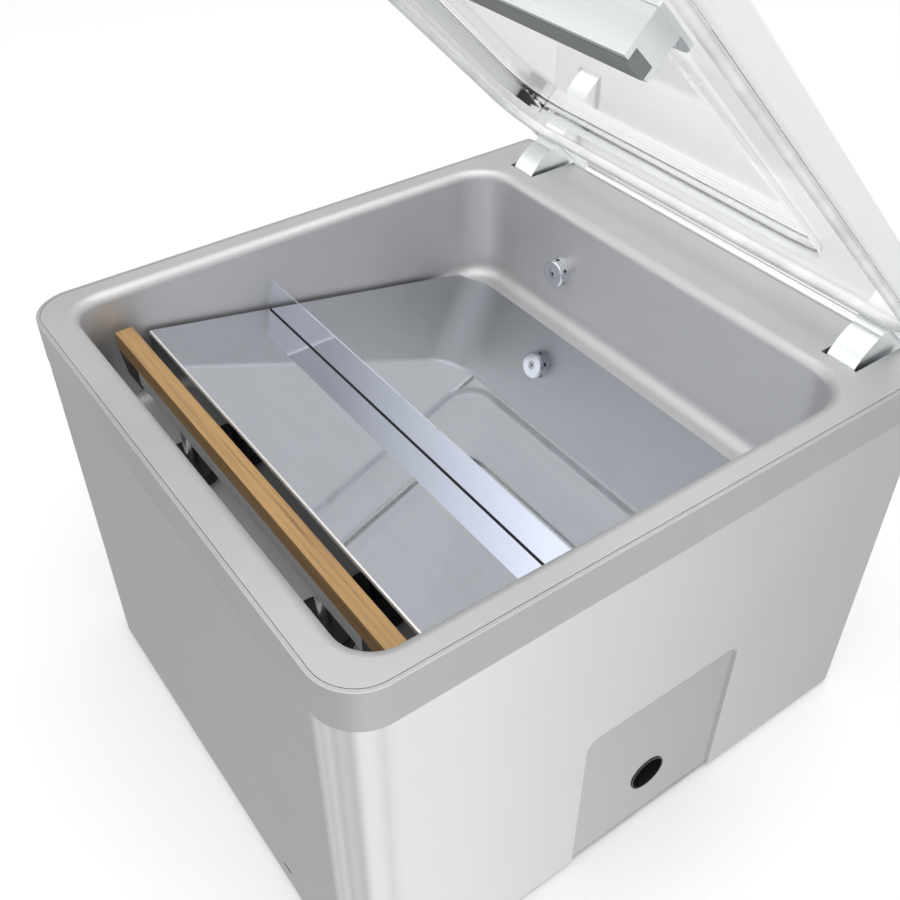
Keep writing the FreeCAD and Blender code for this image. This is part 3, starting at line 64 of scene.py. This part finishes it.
# ---------------------------------------------------------------- material helpers
class Shader:
    """A principled material that is built one node at a time."""

    def __init__(self, name, color, metallic=0.0, roughness=0.5, **sockets):
        self.material = bpy.data.materials.new(name)
        self.material.use_nodes = True
        self.tree = self.material.node_tree
        self.bsdf = self.tree.nodes["Principled BSDF"]
        self.set("Base Color", (*color, 1.0))
        self.set("Metallic", metallic)
        self.set("Roughness", roughness)
        for socket, value in sockets.items():
            self.set(socket.replace("_", " "), value)
        self.coords = self.tree.nodes.new("ShaderNodeTexCoord").outputs["Object"]

    def set(self, socket, value):
        self.bsdf.inputs[socket].default_value = value

    def node(self, kind, **inputs):
        made = self.tree.nodes.new(kind)
        for socket, value in inputs.items():
            made.inputs[socket.replace("_", " ")].default_value = value
        return made

    def link(self, output, socket):
        self.tree.links.new(output, socket)

    def noise(self, stretch, scale, detail=3.0, roughness=0.5):
        """Noise stretched along the axes by stretch, as a 0..1 factor."""
        mapping = self.node("ShaderNodeMapping")
        mapping.inputs["Scale"].default_value = stretch
        self.link(self.coords, mapping.inputs["Vector"])
        texture = self.node("ShaderNodeTexNoise", Scale=scale, Detail=detail, Roughness=roughness)
        self.link(mapping.outputs["Vector"], texture.inputs["Vector"])
        return texture.outputs["Fac"]

    def ramp(self, factor, stops):
        """Colour ramp with (position, colour) stops."""
        made = self.node("ShaderNodeValToRGB")
        elements = made.color_ramp.elements
        while len(elements) < len(stops):
            elements.new(0.5)
        for element, (position, color) in zip(elements, stops):
            element.position = position
            element.color = (*color, 1.0)
        self.link(factor, made.inputs["Fac"])
        return made.outputs["Color"]

    def spread(self, factor, low, high):
        """Remap the middle of a noise factor to the range low..high."""
        return self.fade(factor, 0.3, 0.7, low, high)

    def axis(self, letter):
        """Place along one axis of the object, in metres."""
        split = self.node("ShaderNodeSeparateXYZ")
        self.link(self.coords, split.inputs[0])
        return split.outputs[letter]

    def fade(self, output, start, end, low=0.0, high=1.0):
        """Straight change from low to high while output goes from start to end."""
        made = self.node("ShaderNodeMapRange")
        made.inputs["From Min"].default_value = start
        made.inputs["From Max"].default_value = end
        made.inputs["To Min"].default_value = low
        made.inputs["To Max"].default_value = high
        self.link(output, made.inputs["Value"])
        return made.outputs["Result"]

    def calculate(self, operation, first, second):
        """One arithmetic step on two outputs."""
        made = self.node("ShaderNodeMath")
        made.operation = operation
        self.link(first, made.inputs[0])
        self.link(second, made.inputs[1])
        return made.outputs[0]

    def multiply_colors(self, first, second):
        """Product of two colour outputs."""
        made = self.node("ShaderNodeMix")
        made.data_type = "RGBA"
        made.blend_type = "MULTIPLY"
        made.inputs["Factor"].default_value = 1.0
        self.link(first, made.inputs["A"])
        self.link(second, made.inputs["B"])
        return made.outputs["Result"]

    def color_from(self, output):
        self.link(output, self.bsdf.inputs["Base Color"])

    def roughness_from(self, output):
        self.link(output, self.bsdf.inputs["Roughness"])

    def bump_from(self, output, strength, distance):
        bump = self.node("ShaderNodeBump", Strength=strength, Distance=distance)
        self.link(output, bump.inputs["Height"])
        self.link(bump.outputs["Normal"], self.bsdf.inputs["Normal"])


def tint(color, factor):
    return tuple(min(1.0, channel * factor) for channel in color)


def brushed_metal(name, color, roughness, stretch, depth, contrast):
    """Metal with fine brush lines; stretch is small along the lines."""
    shader = Shader(name, color, metallic=1.0, roughness=roughness)
    lines = shader.noise(stretch, 1.0, detail=4.0, roughness=0.65)
    clouds = shader.noise((1.0, 1.0, 1.0), 9.0, detail=2.0)
    mean = shader.fade(shader.calculate("ADD", lines, clouds), 0.0, 2.0)
    shader.color_from(shader.ramp(mean, [(0.35, tint(color, 1 - contrast)),
                                         (0.65, tint(color, 1 + contrast))]))
    shader.roughness_from(shader.spread(mean, roughness * 0.85, roughness * 1.2))
    shader.bump_from(lines, depth, 0.00004)
    return shader.material


def screw_metal(name, color, roughness):
    """Polished screw whose recess is darkened with painted shade."""
    shader = Shader(name, color, metallic=1.0, roughness=roughness)
    lines = shader.noise((300.0, 300.0, 300.0), 1.0, detail=4.0)
    finish = shader.ramp(lines, [(0.35, tint(color, 0.95)), (0.65, tint(color, 1.05))])
    # Painted shade: ambient occlusion darkens the screw's recess towards near black.
    recess_occlusion = shader.node("ShaderNodeAmbientOcclusion", Distance=2.0 * MM)
    painted_recess_shade = shader.ramp(recess_occlusion.outputs["AO"], [(0.30, (0.03, 0.03, 0.03)), (0.72, (1.0, 1.0, 1.0))])
    shader.color_from(shader.multiply_colors(finish, painted_recess_shade))
    shader.bump_from(lines, 0.1, 0.00004)
    return shader.material


DECK_BLEND = 8.0 * MM


def blasted_metal(name, color, roughness, deck_z=None, deck_shade=1.0):
    """Bead-blasted metal: an even satin with a very fine grain, darkened above deck_z by painted shade."""
    shader = Shader(name, color, metallic=1.0, roughness=roughness)
    grain = shader.noise((1.0, 1.0, 1.0), 2600.0, detail=2.0)
    clouds = shader.noise((1.0, 1.0, 1.0), 7.0, detail=3.0)
    finish = shader.ramp(clouds, [(0.3, tint(color, 0.97)), (0.7, tint(color, 1.03))])
    if deck_z is not None:
        # Painted shade: the surface above deck_z is darkened, fading in over DECK_BLEND.
        height = shader.fade(shader.axis("Z"), deck_z - DECK_BLEND, deck_z)
        painted_deck_shade = shader.ramp(height, [(0.0, (1.0, 1.0, 1.0)), (1.0, (deck_shade,) * 3)])
        finish = shader.multiply_colors(finish, painted_deck_shade)
    shader.color_from(finish)
    shader.roughness_from(shader.spread(clouds, roughness * 0.93, roughness * 1.07))
    shader.bump_from(grain, 0.12, 0.00003)
    return shader.material


def wiping_marks(shader, color, roughness):
    """Colour and roughness outputs of a mirror polish with faint wiping marks."""
    marks = shader.noise((3.0, 9.0, 3.0), 6.0, detail=5.0, roughness=0.7)
    finish = shader.ramp(marks, [(0.3, tint(color, 0.975)), (0.7, tint(color, 1.02))])
    return finish, shader.spread(marks, roughness * 0.6, roughness * 1.6)


def polished_metal(name, color, roughness):
    """Mirror-polished metal with faint wiping marks."""
    shader = Shader(name, color, metallic=1.0, roughness=roughness)
    finish, gloss = wiping_marks(shader, color, roughness)
    shader.color_from(finish)
    shader.roughness_from(gloss)
    return shader.material


# Where bent_plate's painted shade and painted highlight meet the polish: behind the leg's front face, and
# against the top of the bend.
LEG_SHADE_FADE = (0.5 * MM, 1.5 * MM)
BEND_FADE = (-3.2 * MM, -1.8 * MM)
# Painted highlight along the plate's bend: its fade, colour and roughness.
BEND_HIGHLIGHT_FADE = (1.8 * MM, 2.6 * MM)
BEND_HIGHLIGHT_COLOR = (0.97, 0.97, 0.97, 1.0)
BEND_HIGHLIGHT_ROUGHNESS = 0.4


def bent_plate(name, color, roughness, leg_y, bend_z, leg_shade):
    """Mirror-polished plate with painted shade darkening its front leg and a painted highlight along the
    bend between them.
    """
    shader = Shader(name, color, metallic=1.0, roughness=roughness)
    finish, gloss = wiping_marks(shader, color, roughness)
    depth = shader.axis("Y")
    # Painted shade: the front leg below the bend is darkened to near black.
    behind = shader.fade(depth, leg_y + LEG_SHADE_FADE[0], leg_y + LEG_SHADE_FADE[1])
    above = shader.fade(shader.axis("Z"), bend_z + BEND_FADE[0], bend_z + BEND_FADE[1])
    on_top = shader.calculate("MAXIMUM", behind, above)
    painted_leg_shade = shader.ramp(on_top, [(0.0, (leg_shade,) * 3), (1.0, (1.0, 1.0, 1.0))])
    # Painted highlight: a near-white line along the top of the bend, with a higher roughness.
    near_bend = shader.fade(depth, leg_y + BEND_HIGHLIGHT_FADE[0], leg_y + BEND_HIGHLIGHT_FADE[1], 1.0, 0.0)
    bend_highlight = shader.calculate("MULTIPLY", near_bend, above)
    bright = shader.node("ShaderNodeMix")
    bright.data_type = "RGBA"
    bright.inputs["B"].default_value = BEND_HIGHLIGHT_COLOR
    shader.link(bend_highlight, bright.inputs["Factor"])
    shader.link(shader.multiply_colors(finish, painted_leg_shade), bright.inputs["A"])
    shader.color_from(bright.outputs["Result"])
    bend_highlight_gloss = shader.fade(bend_highlight, 0.0, 1.0, 0.0, BEND_HIGHLIGHT_ROUGHNESS)
    shader.roughness_from(shader.calculate("ADD", bend_highlight_gloss, gloss))
    return shader.material


def moulded(name, color, roughness, grain_scale=1400.0, depth=0.2):
    """Moulded plastic or rubber with a fine spark-eroded grain."""
    shader = Shader(name, color, roughness=roughness)
    grain = shader.noise((1.0, 1.0, 1.0), grain_scale, detail=3.0)
    patches = shader.noise((1.0, 1.0, 1.0), 40.0, detail=4.0)
    shader.color_from(shader.ramp(patches, [(0.3, tint(color, 0.88)), (0.7, tint(color, 1.12))]))
    shader.roughness_from(shader.spread(patches, roughness * 0.85, roughness * 1.15))
    shader.bump_from(grain, depth, 0.00008)
    return shader.material


def grained_bar(name, light, dark):
    """Tan laminate with long darker grain lines that run along X."""
    shader = Shader(name, light, roughness=0.42)
    coarse = shader.noise((7.0, 420.0, 420.0), 1.0, detail=5.0, roughness=0.6)
    fine = shader.noise((22.0, 1500.0, 1500.0), 1.0, detail=3.0)
    mix = shader.node("ShaderNodeMix")
    mix.data_type = "FLOAT"
    mix.inputs[0].default_value = 0.35
    shader.link(coarse, mix.inputs[2])
    shader.link(fine, mix.inputs[3])
    factor = mix.outputs[0]
    shader.color_from(shader.ramp(factor, [(0.37, dark), (0.46, tint(light, 0.86)), (0.56, light),
                                           (0.72, tint(light, 1.10))]))
    shader.roughness_from(shader.spread(factor, 0.52, 0.36))
    shader.bump_from(factor, 0.25, 0.0001)
    return shader.material


def clear_acrylic(name):
    """Solid clear acrylic with polished faces."""
    shader = Shader(name, (0.985, 0.992, 0.99), roughness=0.0, IOR=1.49, Transmission_Weight=1.0,
                    Specular_IOR_Level=0.35)
    haze = shader.noise((1.0, 1.0, 1.0), 5.0, detail=4.0)
    shader.roughness_from(shader.spread(haze, 0.0, 0.012))
    return shader.material


def satin_aluminium(name, color):
    """Clear-anodised bar stock: a soft sheen with faint drawing lines along X."""
    shader = Shader(name, color, metallic=0.35, roughness=0.42)
    lines = shader.noise((2.0, 700.0, 700.0), 1.0, detail=4.0)
    shader.color_from(shader.ramp(lines, [(0.3, tint(color, 0.95)), (0.7, tint(color, 1.05))]))
    shader.bump_from(lines, 0.15, 0.00004)
    return shader.material


def satin_acrylic(name):
    """Sawn and sanded acrylic: translucent white with faint lines along the cut."""
    shader = Shader(name, (0.86, 0.87, 0.87), roughness=0.35, IOR=1.49, Transmission_Weight=0.15)
    lines = shader.noise((4.0, 300.0, 300.0), 1.0, detail=3.0)
    shader.color_from(shader.ramp(lines, [(0.3, (0.85, 0.86, 0.86)), (0.7, (0.875, 0.885, 0.885))]))
    shader.bump_from(lines, 0.1, 0.00005)
    return shader.material


def circuit_board(name):
    shader = Shader(name, (0.03, 0.16, 0.07), roughness=0.4)
    tracks = shader.noise((1.0, 260.0, 90.0), 1.0, detail=1.0)
    shader.color_from(shader.ramp(tracks, [(0.45, (0.02, 0.12, 0.05)), (0.55, (0.06, 0.24, 0.10))]))
    return shader.material


# ---------------------------------------------------------------- materials by slot
ALONG_X = (2.0, 900.0, 900.0)
ALONG_Y = (900.0, 2.0, 900.0)

MATERIALS = {
    "deck_steel": blasted_metal("deck_steel", (0.66, 0.66, 0.665), 0.54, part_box("chamber_tub")[1].z, 0.93),
    "skirt_steel": blasted_metal("skirt_steel", (0.58, 0.58, 0.58), 0.5),
    "housing_steel": brushed_metal("housing_steel", (0.80, 0.80, 0.80), 0.17, (6.0, 6.0, 900.0), 0.08, 0.02),
    "hatch_steel": brushed_metal("hatch_steel", (0.60, 0.60, 0.60), 0.19, (6.0, 6.0, 900.0), 0.08, 0.02),
    "zinc_steel": brushed_metal("zinc_steel", (0.52, 0.53, 0.56), 0.35, (30.0, 30.0, 30.0), 0.2, 0.10),
    "black_plastic": moulded("black_plastic", (0.012, 0.012, 0.013), 0.38),
    "black_rubber": moulded("black_rubber", (0.014, 0.014, 0.014), 0.7),
    "screw_steel": screw_metal("screw_steel", (0.70, 0.71, 0.74), 0.2),
    "contact_brass": brushed_metal("contact_brass", (0.80, 0.60, 0.28), 0.25, ALONG_Y, 0.2, 0.08),
    "rocker_plastic": moulded("rocker_plastic", (0.30, 0.012, 0.010), 0.25),
    "cap_chrome": polished_metal("cap_chrome", (0.74, 0.76, 0.80), 0.10),
    "holder_aluminium": brushed_metal("holder_aluminium", (0.86, 0.89, 0.885), 0.45, ALONG_X, 0.25, 0.04),
    "bar_aluminium": satin_aluminium("bar_aluminium", (0.66, 0.67, 0.67)),
    "arm_aluminium": brushed_metal("arm_aluminium", (0.90, 0.93, 0.93), 0.36, ALONG_X, 0.15, 0.03),
    "bar_laminate": grained_bar("bar_laminate", (0.40, 0.24, 0.095), (0.22, 0.12, 0.045)),
    "seal_tape": grained_bar("seal_tape", (0.44, 0.265, 0.105), (0.22, 0.12, 0.05)),
    "mirror_steel": bent_plate("mirror_steel", (0.57, 0.59, 0.635), 0.035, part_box("insert_plate")[0].y,
                               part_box("insert_plate")[1].z, 0.09),
    "rail_steel": polished_metal("rail_steel", (0.86, 0.885, 0.97), 0.05),
    "lid_acrylic": clear_acrylic("lid_acrylic"),
    "gasket_silicone": moulded("gasket_silicone", (0.74, 0.75, 0.75), 0.42, 900.0, 0.1),
    "strip_silicone": moulded("strip_silicone", (0.17, 0.18, 0.18), 0.5, 900.0, 0.1),
    "spring_steel": polished_metal("spring_steel", (0.30, 0.31, 0.33), 0.25),
    "panel_overlay": moulded("panel_overlay", (0.020, 0.022, 0.025), 0.35, 1800.0, 0.15),
    "display_glass": moulded("display_glass", (0.006, 0.007, 0.009), 0.08, 500.0, 0.0),
    "button_plastic": moulded("button_plastic", (0.42, 0.44, 0.46), 0.3),
    "board_green": circuit_board("board_green"),
    "pump_cast": moulded("pump_cast", (0.10, 0.11, 0.12), 0.5, 500.0, 0.5),
    "motor_paint": moulded("motor_paint", (0.055, 0.075, 0.095), 0.35, 600.0, 0.3),
    "hose_rubber": moulded("hose_rubber", (0.015, 0.015, 0.016), 0.5),
    "coil_tape": moulded("coil_tape", (0.55, 0.36, 0.04), 0.4),
}

# Nodes that share a slot with others but have a finish of their own.
OWN_FINISH = {"deck_skirt": "skirt_steel", "seal_bar_carrier": "bar_aluminium"}

for entry in frame["record"]["subparts"]:
    node_name = entry["node"]
    node_materials = NODES[node_name].data.materials
    node_materials.clear()
    node_materials.append(MATERIALS[OWN_FINISH.get(node_name, entry["material_slot"])])

# Clear acrylic lets the studio light through.
NODES["lid_slab"].visible_shadow = False


# ---------------------------------------------------------------- pieces that Blender adds
def new_object(name, mesh, slot_name, body, finish=None):
    """A piece with its material, or its slot's, riding on a body."""
    obj = bpy.data.objects.new(name, mesh)
    bpy.context.scene.collection.objects.link(obj)
    mesh.materials.append(finish or MATERIALS[slot_name])
    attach(obj, body)
    return obj


def coil_mesh(name, x0, x1, centre_y, centre_z, radius, wire_r, turns):
    """Close-wound coil about an axis along X, as a swept round wire with capped ends."""
    along = Vector((1.0, 0.0, 0.0))
    steps = 20
    sides = 10
    bm = bmesh.new()
    rings = []
    count = turns * steps
    for index in range(count + 1):
        share = index / count
        angle = 2 * math.pi * turns * share
        out = Vector((0.0, math.cos(angle), math.sin(angle)))
        centre = Vector((x0 + (x1 - x0) * share, centre_y, centre_z)) + out * radius
        ring = []
        for side in range(sides):
            turn = 2 * math.pi * side / sides
            ring.append(bm.verts.new(centre + (out * math.cos(turn) + along * math.sin(turn)) * wire_r))
        rings.append(ring)
    for first, second in zip(rings, rings[1:]):
        for side in range(sides):
            following = (side + 1) % sides
            bm.faces.new((first[side], first[following], second[following], second[side]))
    bm.faces.new(list(reversed(rings[0])))
    bm.faces.new(rings[-1])
    bmesh.ops.recalc_face_normals(bm, faces=bm.faces)
    mesh = bpy.data.meshes.new(name)
    bm.to_mesh(mesh)
    bm.free()
    mesh.shade_smooth()
    return mesh


SPRING_WIRE_R = 1.25 * MM
SPRING_INNER_X = 126.0 * MM
SPRING_TURNS = 15


def make_springs():
    """Wound torsion springs in place of the plain sleeves."""
    low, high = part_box("torsion_springs")
    coil_r = (high.y - low.y) / 2 - SPRING_WIRE_R
    centre_y = (low.y + high.y) / 2
    centre_z = (low.z + high.z) / 2
    for side, word in ((-1, "left"), (1, "right")):
        name = "torsion_spring_" + word
        x0 = side * (SPRING_INNER_X + SPRING_WIRE_R)
        x1 = side * (high.x - SPRING_WIRE_R)
        mesh = coil_mesh(name, x0, x1, centre_y, centre_z, coil_r, SPRING_WIRE_R, SPRING_TURNS)
        piece = new_object(name, mesh, "spring_steel", "machine_body")
        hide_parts("torsion_springs")


LID_HALF_X = 243.8 * MM
LID_FRONT_Y = -263.0 * MM
LID_BACK_Y = 263.5 * MM
LID_FRONT_R = 34.5 * MM
LID_BACK_R = 4.0 * MM
LID_LOW_Z = 383.0 * MM
LID_HIGH_Z = 404.0 * MM
LID_LOW_EDGE_R = 3.5 * MM
LID_HIGH_EDGE_R = 2.8 * MM
LID_CORNER_STEPS = 12
LID_EDGE_TURNS = range(15, 91, 15)
LID_SKIN_INNER = 0.05 * MM
LID_SKIN_OUTER = 0.15 * MM
HINGE_LINE = Vector((0.0, 255.0 * MM, 353.0 * MM))
OPEN_TURN = Matrix.Rotation(math.radians(-45.0), 3, "X")


def lid_outline(offset):
    """Points round the lid's edge, seen from above with the lid closed."""
    corners = [(LID_HALF_X, LID_BACK_Y, LID_BACK_R, 0), (-LID_HALF_X, LID_BACK_Y, LID_BACK_R, 90),
               (-LID_HALF_X, LID_FRONT_Y, LID_FRONT_R, 180), (LID_HALF_X, LID_FRONT_Y, LID_FRONT_R, 270)]
    points = []
    for x, y, radius, start in corners:
        centre_x = math.copysign(abs(x) - radius, x)
        centre_y = y - math.copysign(radius, y)
        for step in range(LID_CORNER_STEPS + 1):
            angle = math.radians(start + 90 * step / LID_CORNER_STEPS)
            reach = radius + offset
            points.append((centre_x + reach * math.cos(angle), centre_y + reach * math.sin(angle)))
    return points


def lid_edge_profile(skin):
    """Steps over the lid's flank and its two rounded edges: how far out, and how high."""
    halves = []
    for start_z, edge_r, upward in ((LID_LOW_Z, LID_LOW_EDGE_R, 1), (LID_HIGH_Z, LID_HIGH_EDGE_R, -1)):
        half = []
        for turn in LID_EDGE_TURNS:
            angle = math.radians(turn)
            out = (edge_r + skin) * math.sin(angle) - edge_r
            height = start_z + upward * (edge_r - (edge_r + skin) * math.cos(angle))
            half.append((out, height))
        halves.append(half)
    lower, upper = halves
    return lower + upper[::-1]


def make_lid_edge():
    """Milled and sanded edge of the acrylic lid: a thin satin skin over its flank."""
    bm = bmesh.new()
    loops = []
    for offset, height in lid_edge_profile(LID_SKIN_INNER) + lid_edge_profile(LID_SKIN_OUTER)[::-1]:
        loop = []
        for x, y in lid_outline(offset):
            place = OPEN_TURN @ (Vector((x, y, height)) - HINGE_LINE) + HINGE_LINE
            loop.append(bm.verts.new(place))
        loops.append(loop)
    for index, loop in enumerate(loops):
        other = loops[(index + 1) % len(loops)]
        for point in range(len(loop)):
            following = (point + 1) % len(loop)
            bm.faces.new((loop[point], loop[following], other[following], other[point]))
    bmesh.ops.recalc_face_normals(bm, faces=bm.faces)
    mesh = bpy.data.meshes.new("lid_edge_band")
    bm.to_mesh(mesh)
    bm.free()
    band = new_object("lid_edge_band", mesh, "lid_acrylic", "lid", satin_acrylic("lid_edge"))
    smooth_by_angle(band)


make_springs()
make_lid_edge()


# ---------------------------------------------------------------- floor, light and camera
FLOOR_RADIUS = 14.0


def make_floor():
    bm = bmesh.new()
    bmesh.ops.create_circle(bm, cap_ends=True, segments=96, radius=FLOOR_RADIUS)
    mesh = bpy.data.meshes.new("floor")
    bm.to_mesh(mesh)
    bm.free()
    floor = bpy.data.objects.new("floor", mesh)
    bpy.context.scene.collection.objects.link(floor)
    shader = Shader("floor_paper", (0.93, 0.93, 0.93), roughness=0.9)
    mesh.materials.append(shader.material)
    floor.visible_glossy = False


# Brightness by azimuth in degrees, 0 = front and 90 = right, below and above the horizon.
LOWER_BANDS = [(-180, 0.45), (-95, 0.38), (-60, 0.46), (-46, 0.75), (-34, 0.62), (-18, 0.78), (-4, 0.60),
               (10, 0.72), (30, 0.62), (48, 0.98), (70, 1.0), (96, 0.86), (116, 1.00), (126, 0.98),
               (141, 0.78), (158, 0.48)]
UPPER_BANDS = [(-180, 0.80), (-120, 0.72), (-80, 0.45), (-62, 0.55), (-46, 1.75), (-25, 1.20), (0, 0.70),
               (60, 0.95), (120, 1.0), (180, 0.80)]
# Height of the viewing direction over which the lower bands give way to the upper ones.
HORIZON_LOW = -0.25
HORIZON_HIGH = 0.15


def make_world():
    """Studio surroundings: brightness by direction, in bands round the horizon and by height."""
    world = bpy.data.worlds.new("studio")
    world.use_nodes = True
    bpy.context.scene.world = world
    tree = world.node_tree
    nodes = tree.nodes
    links = tree.links
    background = nodes["Background"]
    coords = nodes.new("ShaderNodeTexCoord")
    split = nodes.new("ShaderNodeSeparateXYZ")
    links.new(coords.outputs["Generated"], split.inputs[0])
    azimuth = nodes.new("ShaderNodeMath")
    azimuth.operation = "ARCTAN2"
    forward = nodes.new("ShaderNodeMath")
    forward.operation = "MULTIPLY"
    forward.inputs[1].default_value = -1.0
    links.new(split.outputs["Y"], forward.inputs[0])
    links.new(split.outputs["X"], azimuth.inputs[0])
    links.new(forward.outputs[0], azimuth.inputs[1])
    around = nodes.new("ShaderNodeMapRange")
    around.inputs["From Min"].default_value = -math.pi
    around.inputs["From Max"].default_value = math.pi
    links.new(azimuth.outputs[0], around.inputs["Value"])

    def band_ramp(stops):
        """Brightness round the horizon, from (azimuth, brightness) stops."""
        ramp = nodes.new("ShaderNodeValToRGB")
        elements = ramp.color_ramp.elements
        while len(elements) < len(stops):
            elements.new(0.5)
        for element, (degrees, value) in zip(elements, stops):
            element.position = (degrees + 180.0) / 360.0
            element.color = (value, value, value, 1.0)
        links.new(around.outputs["Result"], ramp.inputs["Fac"])
        return ramp.outputs["Color"]

    below = band_ramp(LOWER_BANDS)
    above = band_ramp(UPPER_BANDS)
    side = nodes.new("ShaderNodeMapRange")
    side.interpolation_type = "SMOOTHSTEP"
    side.inputs["From Min"].default_value = HORIZON_LOW
    side.inputs["From Max"].default_value = HORIZON_HIGH
    links.new(split.outputs["Z"], side.inputs["Value"])
    mix = nodes.new("ShaderNodeMix")
    mix.data_type = "RGBA"
    links.new(side.outputs["Result"], mix.inputs["Factor"])
    links.new(below, mix.inputs["A"])
    links.new(above, mix.inputs["B"])
    links.new(mix.outputs["Result"], background.inputs["Color"])


def area_light(name, location, target, size, power):
    """Rectangular light that faces its target."""
    data = bpy.data.lights.new(name, "AREA")
    data.shape = "RECTANGLE"
    data.size, data.size_y = size
    data.energy = power
    light = bpy.data.objects.new(name, data)
    bpy.context.scene.collection.objects.link(light)
    light.location = location
    light.rotation_mode = "QUATERNION"
    light.rotation_quaternion = (Vector(target) - Vector(location)).to_track_quat("-Z", "Y")


def make_lights():
    area_light("overhead", (0.5, -0.1, 3.2), (0.0, 0.0, 0.2), (3.5, 3.5), 52.0)


CAMERA_AZIMUTH = math.radians(54.24)
CAMERA_ELEVATION = math.radians(40.97)
CAMERA_PLACE = Vector((0.5630, -0.4186, 0.8693))
CAMERA_LENS = 43.57


def make_camera():
    data = bpy.data.cameras.new("camera")
    data.lens = CAMERA_LENS
    data.sensor_width = 36.0
    data.clip_start = 0.01
    camera = bpy.data.objects.new("camera", data)
    bpy.context.scene.collection.objects.link(camera)
    level = math.cos(CAMERA_ELEVATION)
    back = Vector((math.sin(CAMERA_AZIMUTH) * level, -math.cos(CAMERA_AZIMUTH) * level,
                   math.sin(CAMERA_ELEVATION)))
    camera.location = CAMERA_PLACE
    camera.rotation_mode = "QUATERNION"
    camera.rotation_quaternion = (-back).to_track_quat("-Z", "Y")
    bpy.context.scene.camera = camera


make_floor()
make_world()
make_lights()
make_camera()
bpy.context.scene.view_settings.view_transform = "Standard"
